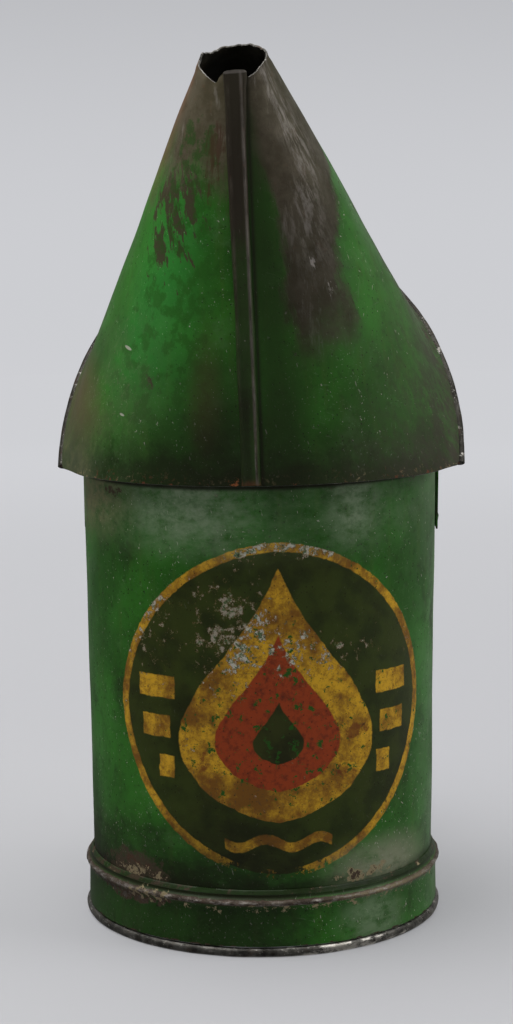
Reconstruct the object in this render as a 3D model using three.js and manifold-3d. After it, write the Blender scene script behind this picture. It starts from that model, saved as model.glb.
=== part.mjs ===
// Hooded can for measuring and pouring motor oil: a soldered tinplate cylinder on a wired foot,
// an oblique conical pouring hood over its front, a filling gap behind the hood and a strap
// handle at the back. Millimetres, +Z up; the spout points along -Y.
import * as THREE from 'three';
import { mergeVertices } from 'three/addons/utils/BufferGeometryUtils.js';
import Module from 'manifold-3d';

const wasm = await Module();
wasm.setup();

// ---- Driving dimensions (millimetres, degrees) ----
const tin = 0.6; // thickness of the sheet
const gap = 0.3; // play between pieces that touch
const roundSteps = 48; // facets round the can

const wall = { bottom: 8.5, top: 144.4, radiusBottom: 51.2, radiusTop: 52.4 };
const footRoll = { ringRadius: 52.35, radius: 1.4, wireRadius: 0.6, flat: 0.2 };
const mouthRoll = { radius: 1.5, wireRadius: 0.7 };
const band = {
  bottom: 2.95,
  top: 17.9,
  thickness: 0.7,
  radiusBottom: 52.9,
  beadHeight: 15.6,
  beadRadius: 53.5,
};
const plate = { top: 12.1, ringDepth: 0.5, flangeBottom: 8.8 };
const collar = { bottom: 115.2, top: 143.4 };
const sideSeam = { width: 5, thickness: 0.8, bottom: 19.4, top: collar.bottom - gap };

const hood = {
  apex: new THREE.Vector3(-3.1, -52.2, 270.7),
  halfAngle: 24.2,
  leanBack: 22.2, // the axis runs back as it goes down
  leanSide: 2.05,
  lowerEdge: 135.4, // height of the front edge on the centre line
  lowerEdgeTilt: 0.76,
  rearCut: -21.9, // where the rear cut crosses the lower edge
  rearCutLean: 32.3, // from upright, towards the back
  rearCutSkew: 1.3,
  tipFront: 24, // distances of the tip's cut from the apex, along the axis
  tipBack: 20.5,
};
const hoodRoll = { radius: 1.5, wireRadius: 0.7, lift: 0.8 }; // its centre stands proud of the cone
const hoodSeam = { width: 5.6, height: 1.3, groove: 0.6 };
const hoodSolder = { bottom: 139.4, top: 142.6, reach: 62 };

const strap = { width: 20, thickness: 1.2, edgeRadius: 1.1 };
const rivet = { shank: 1.3, head: 3, headHeight: 1.5, tail: 2.3, tailHeight: 0.9, spread: 5.5 };
const rivetHeights = { upper: 127, lower: 38 };

const curlThickness = 0.5;
const curlSlit = 50; // opening of a rolled edge, degrees
const far = 400; // size of the blocks that trim the hood

// ---- Finishes ----
function paint(colour, roughness, metalness) {
  return new THREE.MeshStandardMaterial({ color: colour, roughness, metalness });
}
const finishes = {
  enamel: () => paint(0x2f5526, 0.45, 0.1),
  wornEdge: () => paint(0x4b4a42, 0.5, 0.7),
  bareTin: () => paint(0x6f6a60, 0.45, 0.8),
  wire: () => paint(0x55504a, 0.5, 0.9),
  solder: () => paint(0x7c7870, 0.5, 0.8),
};

// ---- Geometry helpers ----
const rad = THREE.MathUtils.degToRad;
const up = new THREE.Vector3(0, 0, 1);

// Positions only, with shared vertices and without collapsed triangles.
function weld(geometry) {
  const bare = geometry.clone();
  bare.deleteAttribute('normal');
  bare.deleteAttribute('uv');
  const merged = mergeVertices(bare, 1e-4);
  const index = Array.from(merged.index.array);
  const kept = [];
  for (let i = 0; i < index.length; i += 3) {
    const corners = index.slice(i, i + 3);
    if (new Set(corners).size === 3) kept.push(...corners);
  }
  merged.setIndex(kept);
  return merged;
}

function toSolid(geometry) {
  const welded = weld(geometry);
  return new wasm.Manifold(new wasm.Mesh({
    numProp: 3,
    vertProperties: new Float32Array(welded.attributes.position.array),
    triVerts: new Uint32Array(welded.index.array),
  }));
}

function fromSolid(solid) {
  const mesh = solid.getMesh();
  const geometry = new THREE.BufferGeometry();
  geometry.setAttribute('position', new THREE.BufferAttribute(new Float32Array(mesh.vertProperties), 3));
  geometry.setIndex(new THREE.BufferAttribute(new Uint32Array(mesh.triVerts), 1));
  geometry.computeVertexNormals();
  return geometry;
}

function cut(geometry, ...tools) {
  return fromSolid(tools.reduce((rest, tool) => rest.subtract(toSolid(tool)), toSolid(geometry)));
}

function common(geometry, ...tools) {
  return fromSolid(tools.reduce((rest, tool) => rest.intersect(toSolid(tool)), toSolid(geometry)));
}

// Profile of [radius, height] pairs, anticlockwise, turned about the Z axis. It either closes on
// itself or starts and ends on the axis.
function turned(profile, steps = roundSteps) {
  const points = profile.map(([r, z]) => new THREE.Vector2(r, z));
  if (profile[0][0] > 0) points.push(points[0].clone());
  return new THREE.LatheGeometry(points, steps).rotateX(Math.PI / 2);
}

// Block filling the space beyond a plane, on the side that its normal points to.
function beyond(point, normal) {
  const block = new THREE.BoxGeometry(far, far, far).translate(0, 0, far / 2);
  block.applyQuaternion(new THREE.Quaternion().setFromUnitVectors(up, normal.clone().normalize()));
  return block.translate(point.x, point.y, point.z);
}

function blockBetween(low, high) {
  const size = high.map((value, i) => value - low[i]);
  const middle = high.map((value, i) => (value + low[i]) / 2);
  return new THREE.BoxGeometry(...size).translate(...middle);
}

// Section of a rolled edge: a C round its wire, open at slitAt degrees.
function curlShape(radius, slitAt) {
  const start = rad(slitAt + curlSlit / 2);
  const end = rad(slitAt + 360 - curlSlit / 2);
  const shape = new THREE.Shape();
  shape.absarc(0, 0, radius, start, end, false);
  shape.absarc(0, 0, radius - curlThickness, end, start, true);
  return shape;
}

function discShape(radius, offset = 0) {
  const shape = new THREE.Shape();
  shape.absarc(offset, 0, radius, 0, 2 * Math.PI, false);
  return shape;
}

// Curve in the XY plane. A section swept along it has its x towards -Z and its y to the left.
class FlatCurve extends THREE.Curve {
  constructor(place) {
    super();
    this.place = place;
  }

  getPoint(t, target = new THREE.Vector3()) {
    const [x, y] = this.place(t);
    return target.set(x, y, 0);
  }
}

function swept(shape, path, steps, curveSegments = 3) {
  return new THREE.ExtrudeGeometry(shape, { extrudePath: path, steps, curveSegments, bevelEnabled: false });
}

const can = new THREE.Group();

function add(name, geometry, finish, parent = can) {
  const mesh = new THREE.Mesh(geometry, finishes[finish]());
  mesh.name = name;
  parent.add(mesh);
  return mesh;
}

// ---- Body: wall, side seam, mouth ----
function wallRadius(z) {
  return THREE.MathUtils.mapLinear(z, wall.bottom, wall.top, wall.radiusBottom, wall.radiusTop);
}

// Ring that follows the wall's taper, from offset to offset + thickness outside it.
function sleeve(bottom, top, offset, thickness) {
  return turned([
    [wallRadius(bottom) + offset, bottom],
    [wallRadius(bottom) + offset + thickness, bottom],
    [wallRadius(top) + offset + thickness, top],
    [wallRadius(top) + offset, top],
  ]);
}

// Drill through the back of the can for every rivet.
function rivetHoles() {
  const holes = [];
  for (const z of Object.values(rivetHeights)) {
    for (const side of [-1, 1]) {
      const drill = new THREE.CylinderGeometry(rivet.shank + gap, rivet.shank + gap, 20, 12);
      holes.push(drill.translate(side * rivet.spread, wall.radiusTop, z));
    }
  }
  return holes;
}

function buildBody() {
  const shell = sleeve(wall.bottom, wall.top, -tin, tin);
  add('body_shell', cut(shell, ...rivetHoles()), 'enamel');

  const seamRing = sleeve(sideSeam.bottom, sideSeam.top, gap, sideSeam.thickness);
  const half = sideSeam.width / 2;
  const seamBlock = blockBetween([-half, 0, 0], [half, wall.radiusTop + 10, wall.top]);
  add('body_side_seam', common(seamRing, seamBlock), 'enamel');

  // The mouth's rear half is rolled outward round a wire; the hood covers its front half.
  const ringRadius = wall.radiusTop + gap;
  const height = wall.top + gap + mouthRoll.radius;
  const halfRing = new FlatCurve((t) => [
    ringRadius * Math.cos(Math.PI * t),
    ringRadius * Math.sin(Math.PI * t),
  ]);
  const roll = swept(curlShape(mouthRoll.radius, 50), halfRing, roundSteps / 2);
  add('mouth_roll', roll, 'wornEdge').position.z = height;
  const wire = swept(discShape(mouthRoll.wireRadius), halfRing, roundSteps / 2);
  add('mouth_wire', wire, 'wire').position.z = height;

  const rearHalf = blockBetween([-far, 0, 0], [far, far, wall.top]);
  const collarRing = sleeve(collar.bottom, collar.top, gap, tin);
  add('rear_collar', cut(common(collarRing, rearHalf), ...rivetHoles()), 'enamel');
}

// ---- Base: plate, foot band, rolled foot, solder ----
function buildBase() {
  const inside = wall.radiusBottom - tin - gap;
  const low = plate.top - tin;
  const step = plate.ringDepth;
  add('base_plate', turned([
    [0, low],
    [30, low],
    [32, low - step],
    [44, low - step],
    [46, low],
    [inside - tin, low],
    [inside - tin, plate.flangeBottom],
    [inside, plate.flangeBottom],
    [inside, plate.top - step],
    [inside - tin, plate.top],
    [46, plate.top],
    [44, plate.top - step],
    [32, plate.top - step],
    [30, plate.top],
    [0, plate.top],
  ]), 'bareTin');

  const { thickness, beadHeight, beadRadius, radiusBottom } = band;
  const neck = radiusBottom - 0.15;
  const lip = wallRadius(band.top) + gap + thickness;
  add('foot_band', turned([
    [radiusBottom - thickness, band.bottom],
    [radiusBottom, band.bottom],
    [neck, beadHeight - 2.6],
    [beadRadius - 0.4, beadHeight - 1.1],
    [beadRadius, beadHeight],
    [beadRadius - 0.4, beadHeight + 1],
    [lip, beadHeight + 1.7],
    [lip, band.top],
    [lip - thickness, band.top],
    [lip - thickness, beadHeight + 1.4],
    [beadRadius - thickness, beadHeight],
    [neck - thickness, beadHeight - 2.3],
  ]), 'enamel');

  // The foot's edge is rolled round a wire, and worn flat where it stands.
  const height = footRoll.radius - footRoll.flat;
  const section = curlShape(footRoll.radius, 120).getPoints(3);
  add('foot_roll', turned(section.slice(0, -1).map((point) => [
    footRoll.ringRadius + point.x,
    Math.max(height + point.y, 0),
  ])), 'wornEdge');
  const wire = discShape(footRoll.wireRadius).getPoints(4).slice(0, -1);
  add('foot_wire', turned(wire.map((point) => [footRoll.ringRadius + point.x, height + point.y])), 'wire');

  const outside = wallRadius(band.top) + gap;
  add('foot_solder', turned([
    [outside, band.top + gap],
    [lip, band.top + gap],
    [outside + 0.15, sideSeam.bottom - gap],
    [outside, sideSeam.bottom - gap],
  ]), 'solder');
  add('base_solder', turned([
    [inside - 0.8, plate.flangeBottom - gap],
    [inside, 7.2],
    [radiusBottom - thickness - gap - 0.1, 6.6],
    [radiusBottom - thickness - gap - 0.1, wall.bottom - gap],
  ]), 'solder');
}

// ---- Hood ----
const hoodAxis = new THREE.Vector3(
  Math.tan(rad(hood.leanSide)),
  Math.tan(rad(hood.leanBack)),
  -1,
).normalize();
const hoodFront = new THREE.Vector3(0, -1, 0).projectOnPlane(hoodAxis).normalize();
const hoodRight = new THREE.Vector3().crossVectors(hoodFront, hoodAxis).normalize();

// Directions at an angle round the hood's axis: 0 at the front, growing towards +X.
function outward(angle) {
  return hoodFront.clone().multiplyScalar(Math.cos(angle)).addScaledVector(hoodRight, Math.sin(angle));
}

function generator(angle) {
  const spread = outward(angle).multiplyScalar(Math.sin(rad(hood.halfAngle)));
  return spread.addScaledVector(hoodAxis, Math.cos(rad(hood.halfAngle)));
}

function hoodNormal(angle) {
  const lift = outward(angle).multiplyScalar(Math.cos(rad(hood.halfAngle)));
  return lift.addScaledVector(hoodAxis, -Math.sin(rad(hood.halfAngle)));
}

const lowerPlane = {
  point: new THREE.Vector3(0, 0, hood.lowerEdge),
  normal: new THREE.Vector3(Math.tan(rad(hood.lowerEdgeTilt)), 0, -1).normalize(),
};
const rearPlane = {
  point: new THREE.Vector3(0, hood.rearCut, hood.lowerEdge),
  normal: new THREE.Vector3(
    Math.tan(rad(hood.rearCutSkew)),
    1,
    -Math.tan(rad(hood.rearCutLean)),
  ).normalize(),
};

// Distance from the apex, along a generator, to a plane.
function reach(angle, plane) {
  return plane.point.clone().sub(hood.apex).dot(plane.normal) / generator(angle).dot(plane.normal);
}

function hoodPoint(angle, distance, lift = 0) {
  const point = hood.apex.clone().addScaledVector(generator(angle), distance);
  return point.addScaledVector(hoodNormal(angle), lift);
}

const tipFrontPoint = hoodPoint(0, hood.tipFront / Math.cos(rad(hood.halfAngle)));
const tipBackPoint = hoodPoint(Math.PI, hood.tipBack / Math.cos(rad(hood.halfAngle)));
const tipPlane = {
  point: tipFrontPoint,
  normal: new THREE.Vector3().crossVectors(
    hoodRight,
    tipBackPoint.clone().sub(tipFrontPoint),
  ).normalize(),
};

// Cone about the hood's axis, between two offsets from its surface; a solid one has no inner offset.
function cone(outerLift, innerLift = null) {
  const slope = Math.tan(rad(hood.halfAngle));
  const radius = (z, lift) => z * slope + lift / Math.cos(rad(hood.halfAngle));
  const [start, end] = [10, 240];
  const profile = innerLift === null
    ? [[0, start], [radius(start, outerLift), start], [radius(end, outerLift), end], [0, end]]
    : [[radius(start, innerLift), start], [radius(start, outerLift), start],
      [radius(end, outerLift), end], [radius(end, innerLift), end]];
  const geometry = turned(profile, 72);
  geometry.applyQuaternion(new THREE.Quaternion().setFromUnitVectors(up, hoodAxis));
  return geometry.translate(hood.apex.x, hood.apex.y, hood.apex.z);
}

function trims(...planes) {
  return planes.map(({ point, normal }) => beyond(point, normal));
}

// Angle at which the rear cut meets the lower edge, on the side given by its sign.
function cornerAngle(side) {
  let [inner, outer] = [rad(20), rad(170)];
  for (let i = 0; i < 40; i++) {
    const middle = (inner + outer) / 2;
    const rear = reach(side * middle, rearPlane);
    const inFront = rear < 0 || rear > reach(side * middle, lowerPlane);
    if (inFront) inner = middle;
    else outer = middle;
  }
  return outer;
}

function buildHood() {
  add('hood_shell', cut(cone(0, -tin), ...trims(lowerPlane, rearPlane, tipPlane)), 'enamel');

  // Folded lock seam up the front, with a groove along its middle.
  const { width, height, groove } = hoodSeam;
  const section = new THREE.Shape([
    [-width / 2, -1], [width / 2, -1], [width / 2, height - 0.4], [width / 2 - 0.5, height],
    [0.5, height], [0, height - groove], [-0.5, height],
    [-width / 2 + 0.5, height], [-width / 2, height - 0.4],
  ].map(([x, y]) => new THREE.Vector2(x, y)));
  const run = generator(0);
  const rise = hoodNormal(0);
  const across = new THREE.Vector3().crossVectors(rise, run);
  const bar = new THREE.ExtrudeGeometry(section, { depth: 200, bevelEnabled: false });
  bar.applyMatrix4(new THREE.Matrix4().makeBasis(across, rise, run).setPosition(hood.apex));
  add('hood_front_seam', cut(bar, cone(gap), ...trims(lowerPlane, tipPlane)), 'enamel');

  // Rear edge, rolled outward round a wire. Its curve lies in a plane parallel to the rear cut.
  const side = new THREE.Vector3().crossVectors(up, rearPlane.normal).normalize().negate();
  const upSlope = new THREE.Vector3().crossVectors(rearPlane.normal, side);
  const [right, left] = [cornerAngle(1), 2 * Math.PI - cornerAngle(-1)];
  const arch = new FlatCurve((t) => {
    const at = THREE.MathUtils.lerp(right, left, t);
    const point = hoodPoint(at, reach(at, rearPlane), hoodRoll.lift).sub(rearPlane.point);
    return [point.dot(side), point.dot(upSlope)];
  });
  const frame = new THREE.Matrix4().makeBasis(side, upSlope, rearPlane.normal);
  const centre = rearPlane.point.clone().addScaledVector(rearPlane.normal, hoodRoll.radius + gap);
  const archGroup = new THREE.Group();
  archGroup.applyMatrix4(frame.setPosition(centre));
  can.add(archGroup);
  add('hood_edge_roll', swept(curlShape(hoodRoll.radius, 50), arch, 40), 'wornEdge', archGroup);
  add('hood_edge_wire', swept(discShape(hoodRoll.wireRadius), arch, 40), 'wire', archGroup);

  // Solder between the body's top and the hood, round the front.
  const ring = sleeve(hoodSolder.bottom, hoodSolder.top, gap, 20);
  const sides = [-1, 1].map((s) => beyond(
    new THREE.Vector3(),
    new THREE.Vector3(s * Math.cos(rad(hoodSolder.reach)), Math.sin(rad(hoodSolder.reach)), 0),
  ));
  add('hood_solder', cut(common(ring, cone(-tin - gap)), ...sides), 'solder');
}

// ---- Handle ----
function buildHandle() {
  const collarFace = wallRadius(rivetHeights.upper) + gap + tin + gap;
  const seamFace = wallRadius(rivetHeights.lower) + gap + sideSeam.thickness + gap;
  const upper = collarFace + strap.thickness / 2;
  const lower = seamFace + strap.thickness / 2;
  // Distances from the can's axis and heights, from the upper pad over the grip to the lower pad.
  const route = new THREE.CatmullRomCurve3([
    [upper, 121], [upper, 126], [upper, 131], [upper + 3, 137.5], [upper + 13, 141], [upper + 26, 138],
    [upper + 35, 127], [upper + 37, 110], [upper + 35, 90], [upper + 29, 71], [upper + 17, 57],
    [lower + 5, 48.5], [lower, 42], [lower, 37], [lower, 32],
  ].map(([out, z]) => new THREE.Vector3(out, z, 0)));

  const handle = new THREE.Group();
  const [acrossHandle, outOfCan] = [new THREE.Vector3(1, 0, 0), new THREE.Vector3(0, 1, 0)];
  handle.applyMatrix4(new THREE.Matrix4().makeBasis(outOfCan, up, acrossHandle));
  can.add(handle);
  const section = new THREE.Shape([
    [-strap.width / 2, -strap.thickness / 2], [strap.width / 2, -strap.thickness / 2],
    [strap.width / 2, strap.thickness / 2], [-strap.width / 2, strap.thickness / 2],
  ].map(([x, y]) => new THREE.Vector2(x, y)));
  const plain = swept(section, route, 40);
  const toHandle = new THREE.Matrix4().copy(handle.matrix).invert();
  const holes = rivetHoles().map((hole) => hole.applyMatrix4(toHandle));
  add('handle_strap', cut(plain, ...holes), 'enamel', handle);

  const edgeAt = strap.width / 2 + gap + strap.edgeRadius;
  for (const [name, side] of [['left', 1], ['right', -1]]) {
    const edge = swept(discShape(strap.edgeRadius, side * edgeAt), route, 40);
    add(`handle_edge_wire_${name}`, edge, 'wornEdge', handle);
  }

  const ends = { upper: upper + strap.thickness / 2 + gap, lower: lower + strap.thickness / 2 + gap };
  for (const [level, z] of Object.entries(rivetHeights)) {
    const inner = Math.sqrt((wallRadius(z) - tin) ** 2 - (rivet.spread + rivet.tail) ** 2) - 2 * gap;
    const head = ends[level];
    const profile = [
      [0, inner - rivet.tailHeight], [rivet.tail, inner - rivet.tailHeight], [rivet.tail, inner],
      [rivet.shank, inner], [rivet.shank, head], [rivet.head, head],
      [rivet.head * 0.8, head + rivet.headHeight * 0.6], [rivet.head * 0.4, head + rivet.headHeight * 0.93],
      [0, head + rivet.headHeight],
    ];
    for (const [name, side] of [['left', -1], ['right', 1]]) {
      const stem = add(`handle_rivet_${level}_${name}`, turned(profile, 12), 'bareTin');
      stem.rotation.x = -Math.PI / 2;
      stem.position.set(side * rivet.spread, 0, z);
    }
  }
}

buildBody();
buildBase();
buildHood();
buildHandle();

// The origin is the middle of the can's footprint box, on the surface that it stands on.
can.updateMatrixWorld(true);
const middle = new THREE.Box3().setFromObject(can).getCenter(new THREE.Vector3());
can.position.set(-middle.x, -middle.y, 0);

export default can;
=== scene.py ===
"""Looks of the hooded motor oil can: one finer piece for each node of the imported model.

Shapes are worked out in millimetres from the can's own axis, and turned into metres in the
shared frame when a mesh is made. Materials read the same millimetres from Object coordinates.
"""

import math

import bmesh
import bpy
import numpy as np
from mathutils import Matrix, Vector, noise


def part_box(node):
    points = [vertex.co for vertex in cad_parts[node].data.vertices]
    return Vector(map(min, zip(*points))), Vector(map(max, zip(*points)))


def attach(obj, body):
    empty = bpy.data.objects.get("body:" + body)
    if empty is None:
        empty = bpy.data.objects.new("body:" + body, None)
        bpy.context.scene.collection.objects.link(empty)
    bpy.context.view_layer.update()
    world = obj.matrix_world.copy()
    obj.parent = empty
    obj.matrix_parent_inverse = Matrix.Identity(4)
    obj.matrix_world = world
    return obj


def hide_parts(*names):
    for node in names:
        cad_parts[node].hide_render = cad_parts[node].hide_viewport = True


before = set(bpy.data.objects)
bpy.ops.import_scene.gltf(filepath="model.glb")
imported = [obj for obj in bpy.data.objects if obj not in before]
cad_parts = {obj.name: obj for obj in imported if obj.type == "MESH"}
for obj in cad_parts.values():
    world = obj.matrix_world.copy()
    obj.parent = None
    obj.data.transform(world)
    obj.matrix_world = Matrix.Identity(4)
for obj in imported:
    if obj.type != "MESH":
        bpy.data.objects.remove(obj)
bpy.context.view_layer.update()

# ---- The can's dimensions, in millimetres and degrees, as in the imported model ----
SHEET = 0.6
GAP = 0.3

WALL_BOTTOM = 8.5
WALL_TOP = 144.4
WALL_RADIUS_BOTTOM = 51.2
WALL_RADIUS_TOP = 52.4
WALL_RADIUS_MEAN = (WALL_RADIUS_BOTTOM + WALL_RADIUS_TOP) / 2

FOOT_RING = 52.35
FOOT_ROLL = 1.4
FOOT_WIRE = 0.6
FOOT_FLAT = 0.2
BAND_BOTTOM = 2.95
BAND_TOP = 17.9
BAND_SHEET = 0.7
BAND_RADIUS = 52.9
BEAD_HEIGHT = 15.6
PLATE_TOP = 12.1

MOUTH_ROLL = 1.5
MOUTH_WIRE = 0.7
COLLAR_BOTTOM = 115.2
COLLAR_TOP = 143.4
SIDE_SEAM_WIDTH = 5.0
SIDE_SEAM_BOTTOM = 19.4
SIDE_SEAM_RISE = 0.8

APEX = np.array([-3.1, -52.2, 270.7])
HALF_ANGLE = math.radians(24.2)
HOOD_LEAN = np.array([math.tan(math.radians(2.05)), math.tan(math.radians(22.2)), -1.0])
LOWER_EDGE = 135.4
LOWER_EDGE_TILT = math.tan(math.radians(0.76))
REAR_CUT = -21.9
REAR_CUT_LEAN = math.tan(math.radians(32.3))
REAR_CUT_SKEW = math.tan(math.radians(1.3))
HOOD_ROLL = 1.5
HOOD_WIRE = 0.7
HOOD_FLARE = 0.8
HOOD_SOLDER_BOTTOM = 139.4
HOOD_SOLDER_TOP = 142.6
HOOD_SOLDER_REACH = math.radians(62)

STRAP_WIDTH = 20.0
STRAP_SHEET = 1.2
STRAP_EDGE = 1.1
RIVET_HEIGHTS = {"upper": 127.0, "lower": 38.0}
RIVET_SPREAD = 5.5

FRONT = np.array([0.0, -1.0, 0.0])
RIGHT = np.array([1.0, 0.0, 0.0])
UPWARD = np.array([0.0, 0.0, 1.0])

# The can's axis in the shared frame, in millimetres.
foot_low, foot_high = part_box("foot_roll")
CAN_AXIS = np.array([foot_low.x + foot_high.x, foot_low.y + foot_high.y, 0.0]) / 2 * 1000


# ---- Arithmetic on arrays ----
def unit(vectors):
    return vectors / np.linalg.norm(vectors, axis=-1, keepdims=True)


def ease(start, end, value):
    """0 at start, 1 at end, smooth in between."""
    t = np.clip((np.asarray(value, float) - start) / (end - start), 0, 1)
    return t * t * (3 - 2 * t)


def wobble(points, size, seed):
    """Smooth noise in -1..1 at points of any array shape, with features of that size."""
    flat = np.asarray(points, float).reshape(-1, 3) / size + seed * 7.31
    values = [noise.noise(Vector(point)) for point in flat]
    return np.array(values).reshape(np.shape(points)[:-1])


def around_axis(angle, radius, height):
    """Points at an angle from the front, growing towards +X."""
    angle, radius, height = np.broadcast_arrays(angle, radius, height)
    return np.stack([radius * np.sin(angle), -radius * np.cos(angle), height], -1)


def arc(radius, angles):
    """Flat points on a circle about zero."""
    return np.stack([np.cos(angles), np.sin(angles)], -1) * radius


def pushed(rows, away, amount):
    """Rows of points moved by an amount along their own row's outward direction."""
    return rows + away[:, None] * amount[..., None]


def wall_radius(z):
    share = (np.asarray(z, float) - WALL_BOTTOM) / (WALL_TOP - WALL_BOTTOM)
    return WALL_RADIUS_BOTTOM + (WALL_RADIUS_TOP - WALL_RADIUS_BOTTOM) * share


def turning_point(low, high, is_low):
    """The value between low and high from which is_low is no longer true."""
    for _ in range(40):
        middle = (low + high) / 2
        if is_low(middle):
            low = middle
        else:
            high = middle
    return high


# ---- The hood's cone ----
HOOD_AXIS = unit(HOOD_LEAN)
HOOD_FRONT = unit(FRONT - HOOD_AXIS * FRONT.dot(HOOD_AXIS))
HOOD_RIGHT = unit(np.cross(HOOD_FRONT, HOOD_AXIS))
LOWER_PLANE = (np.array([0, 0, LOWER_EDGE]), unit(np.array([LOWER_EDGE_TILT, 0, -1.0])))
REAR_PLANE = (
    np.array([0, REAR_CUT, LOWER_EDGE]),
    unit(np.array([REAR_CUT_SKEW, 1.0, -REAR_CUT_LEAN])),
)


def outward(angle):
    angle = np.asarray(angle, float)[..., None]
    return HOOD_FRONT * np.cos(angle) + HOOD_RIGHT * np.sin(angle)


def generator(angle):
    return outward(angle) * math.sin(HALF_ANGLE) + HOOD_AXIS * math.cos(HALF_ANGLE)


def cone_normal(angle):
    return outward(angle) * math.cos(HALF_ANGLE) - HOOD_AXIS * math.sin(HALF_ANGLE)


def cone_point(angle, distance, lift=0.0):
    """Point at a distance from the apex along a generator, lifted off the cone."""
    angle, distance, lift = np.broadcast_arrays(angle, distance, lift)
    run = generator(angle) * distance[..., None]
    return APEX + run + cone_normal(angle) * lift[..., None]


def reach(angle, plane):
    point, normal = plane
    return (point - APEX).dot(normal) / (generator(angle) @ normal)


def hood_end(angle):
    """Distance from the apex to the hood's edge: the lower one or the rear cut."""
    lower = reach(angle, LOWER_PLANE)
    rear = reach(angle, REAR_PLANE)
    return np.where((rear > 0) & (rear < lower), rear, lower)


def hood_corner(side):
    """Angle at which the rear cut meets the lower edge, on the side given by its sign."""
    def is_lower_edge(angle):
        rear = reach(side * angle, REAR_PLANE)
        return rear < 0 or rear > reach(side * angle, LOWER_PLANE)

    return side * turning_point(math.radians(20), math.radians(170), is_lower_edge)


def lifted_hood_end(angle):
    """The hood's edge, with the lower one lifted by up to 1 mm towards its two corners."""
    lift = 0.0
    for side in (-1, 1):
        inside = side * (hood_corner(side) - angle)
        width = np.where(inside >= 0, math.radians(9), math.radians(1.2))
        lift = lift + np.exp(-((inside / width) ** 2))
    return hood_end(angle) - lift


# ---- Node graphs ----
def colour(red, green, blue):
    """Linear colour, with alpha, from the 0-255 numbers of a colour picker."""
    shares = [value / 255 for value in (red, green, blue)]
    linear = [s / 12.92 if s <= 0.04045 else ((s + 0.055) / 1.055) ** 2.4 for s in shares]
    return (*linear, 1.0)


class Signal:
    """A number or vector in a node graph, with the arithmetic that adds its nodes."""

    def __init__(self, graph, socket):
        self.graph = graph
        self.socket = socket

    def __add__(self, other):
        return self.graph.maths("ADD", self, other)

    def __sub__(self, other):
        return self.graph.maths("SUBTRACT", self, other)

    def __rsub__(self, other):
        return self.graph.maths("SUBTRACT", other, self)

    def __mul__(self, other):
        return self.graph.maths("MULTIPLY", self, other)

    def __truediv__(self, other):
        return self.graph.maths("DIVIDE", self, other)

    def __abs__(self):
        return self.graph.maths("ABSOLUTE", self)

    __radd__ = __add__
    __rmul__ = __mul__

    def fade(self, start, end):
        """0 where this is at start, 1 where it is at end, smooth in between."""
        node = self.graph.add("MapRange", self, start, end, interpolation_type="SMOOTHSTEP")
        return Signal(self.graph, node.outputs[0])

    def within(self, middle, half, soft):
        """1 where this is inside middle +- half, 0 beyond a soft edge."""
        return abs(self - middle).fade(half + soft, half - soft)


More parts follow.
